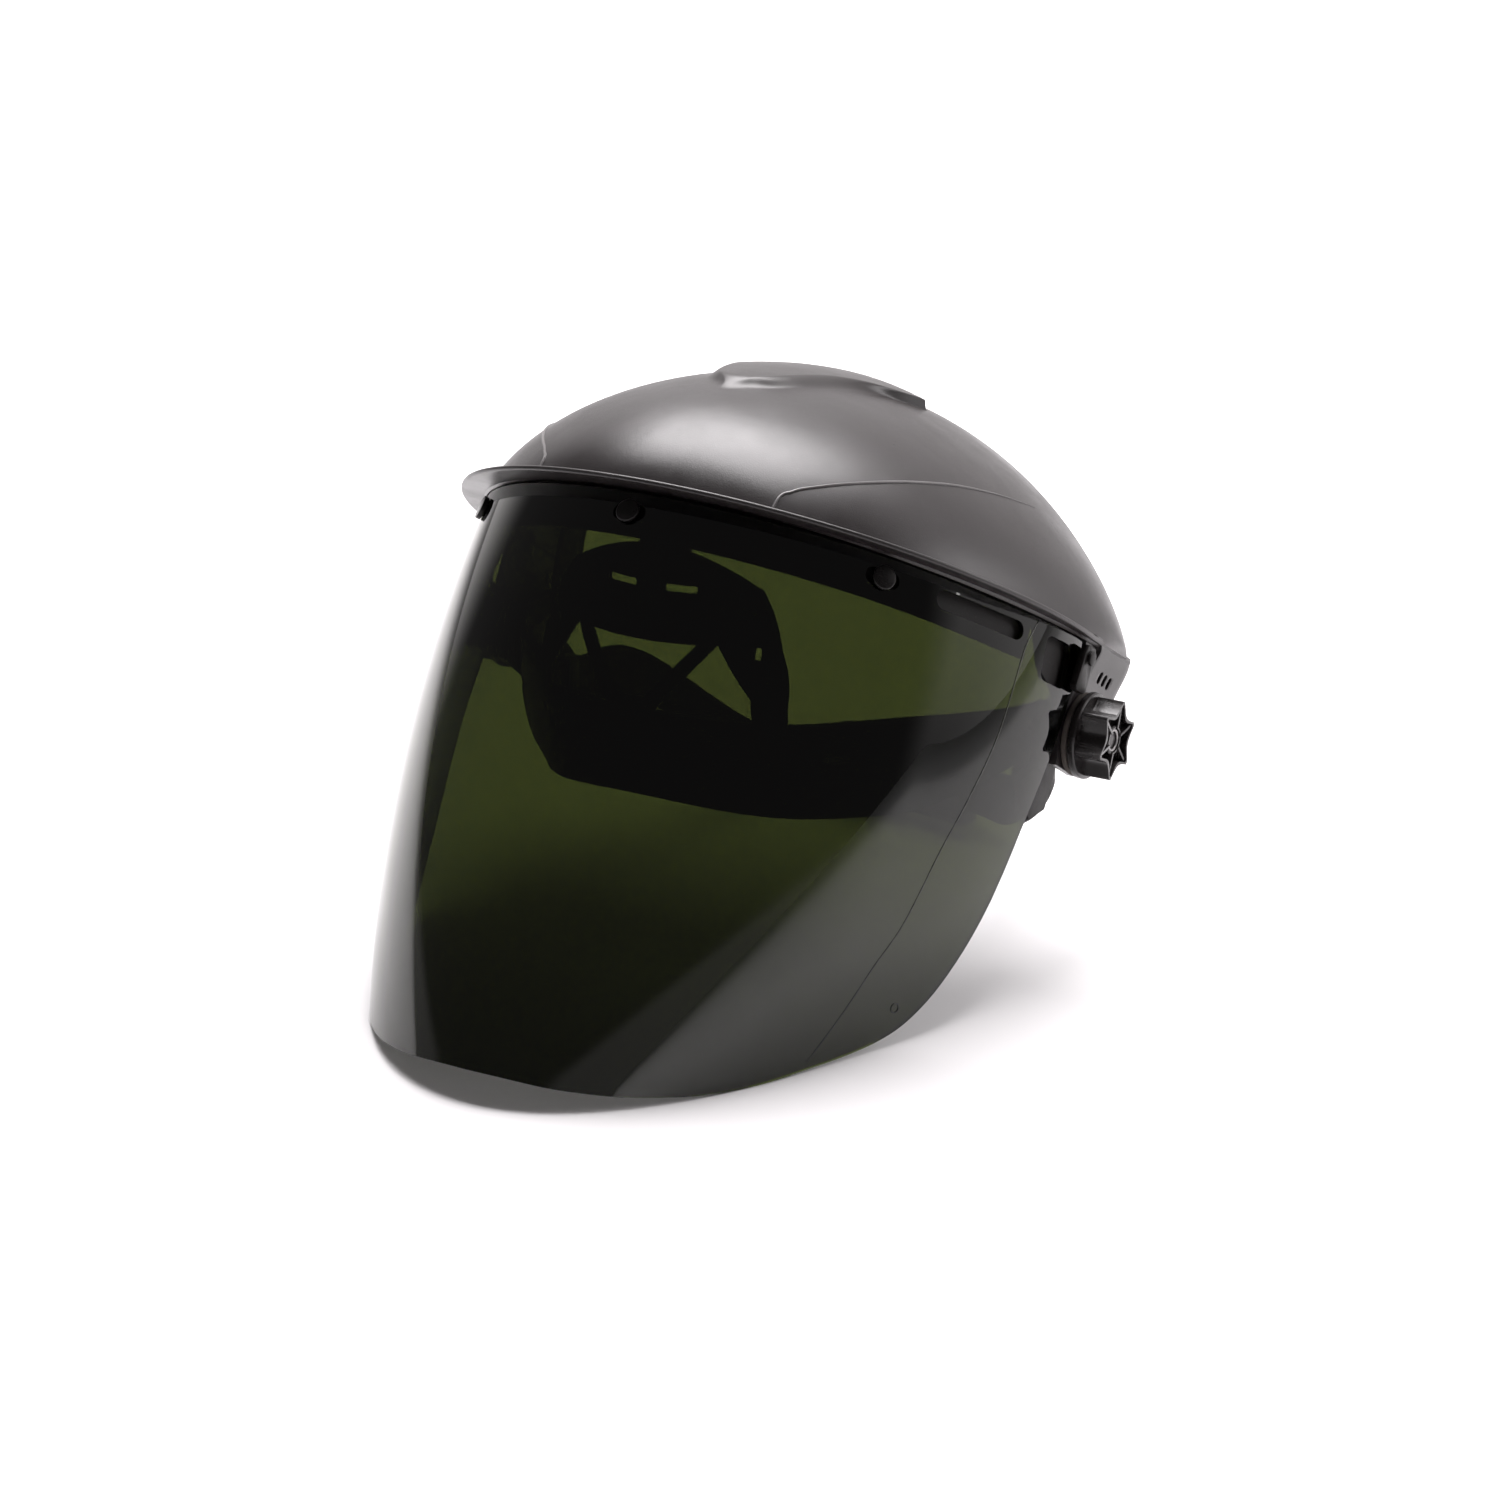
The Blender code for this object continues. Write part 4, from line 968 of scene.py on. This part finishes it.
def build_window():
    """The curved window with its stud holes, side slots and wing holes."""
    end = radians(WINDOW_EDGE[-1][0])

    def place(u, v):
        lean = 2 * u - 1
        angle = end * (1.45 * lean - 0.45 * lean * abs(lean))
        top = WINDOW_TOP_GAP
        return window_point(angle, top + (window_drop(angle) - top) * (1 - v))

    fine = grid(200, 60, place)
    source = bpy.data.meshes.new("window_source")
    fine.to_mesh(source)
    window = thick("visor_window", fine, WINDOW_THICKNESS, 0.0005, 2)
    tools = [
        window_slot(angle - STUD_HOLE_HALF, angle + STUD_HOLE_HALF, STUD_DROP, STUD_HOLE_HEIGHT)
        for angle in (STUD_ANGLE, 0.0, -STUD_ANGLE)
    ]
    for side, _ in SIDES:
        ends = sorted((side * SLOT_ENDS[0], side * SLOT_ENDS[1]))
        tools.append(window_slot(*ends, SLOT_DROP, SLOT_HEIGHT))
        outline = moved(rounded_section(0.0140, 0.0158, 0.0028, 6), WING_HOLE_MIDDLE)

        def across(a, b, level):
            return (side * level, a, b)

        tools.append(raw_object("hole", extruded(outline, 0.104, 0.124, across)))
    cut(window, tools)
    window.data.materials.clear()
    window.data.materials.append(MATERIALS["window_green"])
    window.data.shade_smooth()
    copy_normals(window, source)
    window.data.transform(SHIELD)
    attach(window, "shield")
    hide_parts("visor")


CREASE_RADIUS = 0.00032
CREASE_LINE = (
    (1.5, 77.8),
    (15.5, 75.8),
    (43.0, 75.0),
    (70.5, 72.8),
    (89.0, 71.0),
    (117.0, 69.2),
    (132.0, 67.2),
    (150.0, 65.2),
    (169.0, 62.6),
)


def build_creases():
    """The faint fold line down each wing of the window."""
    steps = 120
    first, last = CREASE_LINE[0][0] + 1.5, CREASE_LINE[-1][0]
    for side, label in SIDES:
        places = []
        for i in range(steps + 1):
            drop = first + (last - first) * i / steps
            angle = side * radians(along(CREASE_LINE, drop))
            places.append((angle, drop / 1000))
        path = [Vector(window_point(*place)) for place in places]

        def section(i, point):
            return ring_at(path, i, outward_normal(side, *places[i]), CREASE_RADIUS, 6, 0.45)

        line = make_piece(
            "window_crease_" + label, swept(path, section), "window_green", "shield", (), SHIELD,
            angle=180,
        )
        line.data.materials[0] = CREASE_FINISH


GATE_ANGLE, GATE_DROP = 74.0, 0.1430
GATE_PROFILE = (
    (0.00135, -0.0003),
    (0.00185, -0.0003),
    (0.00185, 0.00018),
    (0.00160, 0.00028),
    (0.00135, 0.00018),
)


def build_gate_marks():
    """The small moulded ring low on each wing."""
    for side, label in SIDES:
        angle = side * radians(GATE_ANGLE)
        turn = outward_normal(side, angle, GATE_DROP).to_track_quat("Z", "Y").to_matrix().to_4x4()
        place = Matrix.Translation(window_point(angle, GATE_DROP)) @ turn
        ring = make_piece(
            "window_gate_ring_" + label, turned(GATE_PROFILE, 32, place), "window_green", "shield",
            (), SHIELD, angle=180,
        )
        ring.data.materials[0] = CREASE_FINISH


# ---------------------------------------------------------------- knobs

KNOB_POINTS = 6
KNOB_TIP, KNOB_VALLEY = 0.0138, 0.0098
KNOB_BACK, KNOB_FACE = 0.1209, 0.1306
KNOB_TURN = radians(8)
KNOB_TIP_HALF = 0.075
KNOB_TIP_PULL = 0.0005
KNOB_WALL = 0.0013
KNOB_HOLLOW = 0.0030
KNOB_BORE, KNOB_SEAT = 0.0034, 0.0043
RIB_HALF_WALL = 0.00045
RIB_INNER, RIB_OUTER = 0.0030, 0.0128
FLANGE_PROFILE = (
    (0.0034, 0.1184),
    (0.0147, 0.1184),
    (0.0152, 0.1189),
    (0.0152, 0.1207),
    (0.0147, 0.1212),
    (0.0034, 0.1212),
)
HUB_PROFILE = (
    (0.0034, 0.1209),
    (0.0052, 0.1209),
    (0.0052, 0.1292),
    (0.0048, 0.1296),
    (0.0034, 0.1296),
)
INSERT_PROFILE = (
    (0.0031, 0.1236),
    (0.0040, 0.1236),
    (0.0040, 0.1290),
    (0.0038, 0.1292),
    (0.0033, 0.1292),
    (0.0031, 0.1290),
)


def star_outline(shrink, turn, steps=16):
    """Six blunt tips joined by hollow flutes."""
    points = []
    pitch = 2 * pi / KNOB_POINTS
    rounded_tip = KNOB_TIP - KNOB_TIP_PULL
    for tip in range(KNOB_POINTS):
        middle = turn + pitch * tip
        for offset in (-KNOB_TIP_HALF, -0.055, 0.0, 0.055, KNOB_TIP_HALF):
            pull = KNOB_TIP_PULL if abs(offset) == KNOB_TIP_HALF else 0.0
            radius = KNOB_TIP - shrink - pull
            points.append((radius * cos(middle + offset), radius * sin(middle + offset)))
        for i in range(1, steps):
            share = i / steps
            angle = middle + KNOB_TIP_HALF + share * (pitch - 2 * KNOB_TIP_HALF)
            flute = abs(2 * share - 1) ** 2.2
            radius = KNOB_VALLEY - shrink + (rounded_tip - KNOB_VALLEY) * flute
            points.append((radius * cos(angle), radius * sin(angle)))
    return points


def rib_outline(angle):
    corners = (
        (RIB_INNER, -RIB_HALF_WALL),
        (RIB_OUTER, -RIB_HALF_WALL),
        (RIB_OUTER, RIB_HALF_WALL),
        (RIB_INNER, RIB_HALF_WALL),
    )
    return [(a * cos(angle) - b * sin(angle), a * sin(angle) + b * cos(angle)) for a, b in corners]


def build_knobs():
    """The star knobs, hollow in front with ribs to the hub, and their threaded inserts."""
    for side, label in SIDES:
        turn = KNOB_TURN if side > 0 else pi - KNOB_TURN
        place = Matrix.Rotation(side * pi / 2, 4, "Y")

        def across(a, b, level):
            return (side * level, a, b)

        def solid(name, outline, low, high):
            return raw_object(name, extruded(outline, low, high, across))

        name = "tension_knob_body_" + label
        body = solid(name, star_outline(0, turn), KNOB_BACK, KNOB_FACE)
        inside = star_outline(KNOB_WALL, turn)
        cut(body, [solid("hollow", inside, KNOB_FACE - KNOB_HOLLOW, KNOB_FACE + 0.004)])
        added = [
            raw_object("flange", turned(FLANGE_PROFILE, 72, place)),
            raw_object("hub", turned(HUB_PROFILE, 48, place)),
        ]
        for tip in range(KNOB_POINTS):
            outline = rib_outline(turn + 2 * pi * tip / KNOB_POINTS)
            added.append(solid("rib", outline, KNOB_FACE - 0.0042, KNOB_FACE - 0.0006))
        cut(body, added, "UNION")
        bore = solid("bore", circle(KNOB_BORE, 48), 0.110, 0.140)
        seat = solid("seat", circle(KNOB_SEAT, 48), 0.1230, 0.1350)
        cut(body, [bore, seat])
        rounded_edges(body, 0.00035, 3)
        dress(body, "knob_black", "knob_" + label, ("tension_knob_" + label,), LEVEL, angle=45)
        ring = make_piece(
            "knob_insert_ring_" + label, turned(INSERT_PROFILE, 48, place), "steel",
            "knob_" + label, ("knob_insert_" + label,), LEVEL,
        )
        ring.data.materials[0] = INSERT_STEEL


# ---------------------------------------------------------------- the rest from the CAD shapes

BODIES = frame["record"]["behaviour"]["bodies"]
BODY_OF = {node: body for body, nodes in BODIES.items() for node in nodes}
SLOT_OF = {entry["node"]: entry["material_slot"] for entry in frame["record"]["subparts"]}
BUILT_APART = {
    "crown_shell", "visor", "tension_knob_left", "tension_knob_right", "knob_insert_left",
    "knob_insert_right", "brow_pad", "nape_pad",
}


LATCH_INNER = 0.1171


def keep_off_window(latch):
    """Thins the latch from inside, so that it clears the window's flared wing."""
    for corner in latch.data.vertices:
        side = 1 if corner.co.x > 0 else -1
        corner.co.x = side * max(abs(corner.co.x), LATCH_INNER)


def refine_rest():
    for node in sorted(frame["nodes"]):
        if node in BUILT_APART:
            continue
        domed = node.startswith(("stud_", "crown_peg")) or "rivet" in node
        detail = refined(
            node, SLOT_OF[node], BODY_OF[node], 0.0006 if domed else 0.0003, 4 if domed else 2
        )
        if node.startswith("pivot_bolt"):
            detail.data.materials[0] = DARK_STEEL
        if node.startswith("latch_"):
            detail.data.materials[0] = LATCH_FINISH
        if node in ("latch_left", "latch_right"):
            keep_off_window(detail)


PAD_SHRINK = 0.0010
PAD_VOXEL = 0.0040
PAD_FRAMES = 20
PAD_CAPS = {"brow_pad": 0.0022, "nape_pad": 0.0016}


def pad_core(node):
    """The pad's outline a little smaller than its CAD solid, in even faces for the simulation."""
    shape = bmesh.new()
    shape.from_mesh(frame["nodes"][node].data)
    bmesh.ops.remove_doubles(shape, verts=shape.verts, dist=1e-6)
    shape.normal_update()
    for corner in shape.verts:
        corner.co -= corner.normal * PAD_SHRINK
    core = raw_object(node + "_cover", shape)
    remesh = core.modifiers.new("even", "REMESH")
    remesh.mode = "VOXEL"
    remesh.voxel_size = PAD_VOXEL * 0.5
    return applied(core)


def swell(core, cap):
    """Blows the cover up like foam pressing on it, each point kept within cap of its start."""
    before = [corner.co.copy() for corner in core.data.vertices]
    cloth = core.modifiers.new("foam", "CLOTH")
    cloth.settings.use_pressure = True
    cloth.settings.uniform_pressure_force = 4.0
    cloth.settings.tension_stiffness = 12
    cloth.settings.compression_stiffness = 12
    cloth.settings.bending_stiffness = 0.4
    cloth.settings.effector_weights.gravity = 0.0
    scene = bpy.context.scene
    for number in range(1, PAD_FRAMES + 1):
        scene.frame_set(number)
    applied(core)
    scene.frame_set(1)
    for start, corner in zip(before, core.data.vertices):
        moved = corner.co - start
        if moved.length > cap:
            corner.co = start + moved * (cap / moved.length)


def pad_cover(node):
    core = pad_core(node)
    swell(core, PAD_CAPS[node])
    evened = core.modifiers.new("soft", "SMOOTH")
    evened.iterations = 2
    fine = core.modifiers.new("fine", "SUBSURF")
    fine.levels = 1
    applied(core)
    dress(core, "pad_black", "headgear", (node,), angle=180)
    return core


def surface_of(thing):
    shape = bmesh.new()
    shape.from_mesh(thing.data)
    tree = BVHTree.FromBMesh(shape)
    shape.free()
    return tree


def build_seam(name, cover, loop):
    """A stitched cord laid on the cover along a closed loop of points outside it."""
    tree = surface_of(cover)
    path = []
    for point in loop:
        found, normal, _, _ = tree.find_nearest(point)
        path.append((found, normal))
    count = len(path)
    shape = bmesh.new()
    rings = []
    for i, (point, out) in enumerate(path):
        forward = (path[(i + 1) % count][0] - path[i - 1][0]).normalized()
        side = forward.cross(out).normalized()
        radius = SEAM_RADIUS * (1.0 + 0.22 * cos(i * pi))
        rings.append(
            [
                shape.verts.new(point + radius * (side * cos(k * pi / 3) + out * sin(k * pi / 3)))
                for k in range(6)
            ]
        )
    for i in range(count):
        first, second = rings[i], rings[(i + 1) % count]
        for k in range(6):
            m = (k + 1) % 6
            shape.faces.new((first[k], first[m], second[m], second[k]))
    bmesh.ops.recalc_face_normals(shape, faces=shape.faces)
    seam = make_piece(name, shape, "pad_black", "headgear", (), None, angle=180)
    seam.data.materials[0] = THREAD_FINISH


SEAM_RADIUS = 0.00050
BROW_END = radians(50)
NAPE_PAD_RADIUS, NAPE_PAD_END = 0.0875, radians(24)


def loop_round(count, half_length, half_height, place):
    """Points of a long rounded loop; place(along, up) gives each one's position."""
    points = []
    for i in range(count):
        turn = 2 * pi * i / count
        flat = abs(cos(turn)) ** 0.35 * (1 if cos(turn) > 0 else -1)
        tall = abs(sin(turn)) ** 0.55 * (1 if sin(turn) > 0 else -1)
        points.append(LEVEL @ Vector(place(flat * half_length, tall * half_height)))
    return points


def band_inside(angle, z, depth):
    flare = 0.0325 * smooth((abs(angle) - radians(48)) / radians(50))
    across = (HEAD_HALF_WIDTH - depth) * sin(angle) + (flare if angle > 0 else -flare)
    return (across, -HEAD_BACK - (HEAD_DEPTH - depth) * cos(angle), z)


def brow_middle(angle):
    share = smooth(abs(angle) / radians(62))
    return 0.0060 - 0.00875 * share


def build_pads():
    """Foam pads in a knitted cover, with their seams."""
    brow = pad_cover("brow_pad")
    for row, height in (("outer", 0.0118), ("inner", 0.0070)):
        loop = loop_round(
            220, BROW_END * (0.97 if row == "outer" else 0.90), height,
            lambda angle, up: band_inside(angle, brow_middle(angle) + up, 0.0120),
        )
        build_seam("brow_pad_seam_" + row, brow, loop)
    nape = pad_cover("nape_pad")
    reach = NAPE_PAD_RADIUS - 0.0100
    middle = NAPE_BACK_Z + 0.001
    loop = loop_round(
        130, NAPE_PAD_END * 0.88, 0.0085,
        lambda angle, up: (-reach * sin(angle), reach * cos(angle), middle + up),
    )
    build_seam("nape_pad_seam", nape, loop)


# ---------------------------------------------------------------- stage, camera and light

FLOOR_HALF_SIZE = 8.0
CAMERA_PLACE = (0.6852, -1.1641, 0.5665)
CAMERA_TILT, CAMERA_TURN = radians(69.8), radians(30.0)
CAMERA_LENS, CAMERA_SENSOR = 98.55, 36


def build_stage():
    """A plain pale floor with a slow change of tone."""
    shape = bmesh.new()
    bmesh.ops.create_grid(shape, x_segments=4, y_segments=4, size=FLOOR_HALF_SIZE)
    floor = raw_object("floor", shape)
    made = Nodes("floor_white", (0.80, 0.80, 0.80), 0.6)
    made.colour(made.blend(made.noise(3, detail=3), (0.79, 0.785, 0.79), (0.81, 0.805, 0.81)))
    made.set("Specular IOR Level", 0.15)
    floor.data.materials.append(made.material)


def area_light(name, place, target, width, height, power, colour=(1, 1, 1)):
    data = bpy.data.lights.new(name, "AREA")
    data.shape = "RECTANGLE"
    data.size = width
    data.size_y = height
    data.energy = power
    data.color = colour
    light = bpy.data.objects.new(name, data)
    bpy.context.scene.collection.objects.link(light)
    light.location = place
    light.rotation_euler = (Vector(target) - Vector(place)).to_track_quat("-Z", "Y").to_euler()
    return light


def joined(tree, operation, first, second):
    made = tree.nodes.new("ShaderNodeMath")
    made.operation = operation
    tree.links.new(first, made.inputs[0])
    if isinstance(second, float):
        made.inputs[1].default_value = second
    else:
        tree.links.new(second, made.inputs[1])
    return made.outputs[0]


def direction_share(tree, place, direction, low, high, low_value, high_value):
    """A value that changes from low to high as the view direction turns towards direction."""
    dot = tree.nodes.new("ShaderNodeVectorMath")
    dot.operation = "DOT_PRODUCT"
    dot.inputs[1].default_value = direction
    ramp = tree.nodes.new("ShaderNodeMapRange")
    ramp.interpolation_type = "SMOOTHSTEP"
    for socket, value in zip(
        ("From Min", "From Max", "To Min", "To Max"), (low, high, low_value, high_value)
    ):
        ramp.inputs[socket].default_value = value
    tree.links.new(place, dot.inputs[0])
    tree.links.new(dot.outputs["Value"], ramp.inputs["Value"])
    return ramp.outputs["Result"]


ROOM_LIGHT = 0.095


def build_world():
    """A white sweep behind the object, a low pale strip in front, and a dark room above them."""
    world = bpy.data.worlds.new("studio")
    world.use_nodes = True
    tree = world.node_tree
    background = tree.nodes["Background"]
    place = tree.nodes.new("ShaderNodeTexCoord").outputs["Generated"]
    behind = direction_share(tree, place, (0.0, 1.0, 0.0), 0.18, 0.50, 0.0, 0.95)
    in_front = direction_share(tree, place, (0.0, -0.21, -1.0), -0.02, 0.02, 0.0, 0.25)
    brighter = joined(tree, "MAXIMUM", behind, in_front)
    room = joined(tree, "ADD", brighter, ROOM_LIGHT)
    seen = tree.nodes.new("ShaderNodeLightPath").outputs["Is Camera Ray"]
    tree.links.new(joined(tree, "MAXIMUM", seen, room), background.inputs["Strength"])
    background.inputs["Color"].default_value = (1.0, 0.965, 0.970, 1.0)
    bpy.context.scene.world = world


def build_camera():
    data = bpy.data.cameras.new("camera")
    data.lens = CAMERA_LENS
    data.sensor_width = CAMERA_SENSOR
    data.clip_end = 40
    camera = bpy.data.objects.new("camera", data)
    camera.location = CAMERA_PLACE
    camera.rotation_euler = (CAMERA_TILT, 0, CAMERA_TURN)
    bpy.context.scene.collection.objects.link(camera)
    bpy.context.scene.camera = camera


STUDIO_TINT = (1.0, 0.970, 0.982)


def build_lights():
    area_light("softbox", (-0.30, 0.50, 1.40), (-0.30, 0.30, 0.15), 1.34, 1.02, 52, STUDIO_TINT)
    sweep = area_light("sweep", (0.0, 2.70, 1.65), (0.0, 2.10, 0.0), 3.80, 1.50, 46, STUDIO_TINT)
    sweep.visible_glossy = False
    area_light("kicker", (1.15, 0.62, 0.62), (0.42, 0.22, 0.0), 0.50, 0.50, 5, STUDIO_TINT)


bpy.context.scene.view_settings.view_transform = "Standard"

build_dome()
build_beads()
build_brim()
build_ears()
build_window()
build_creases()
build_gate_marks()
build_knobs()
refine_rest()
build_pads()
build_stage()
build_world()
build_camera()
build_lights()
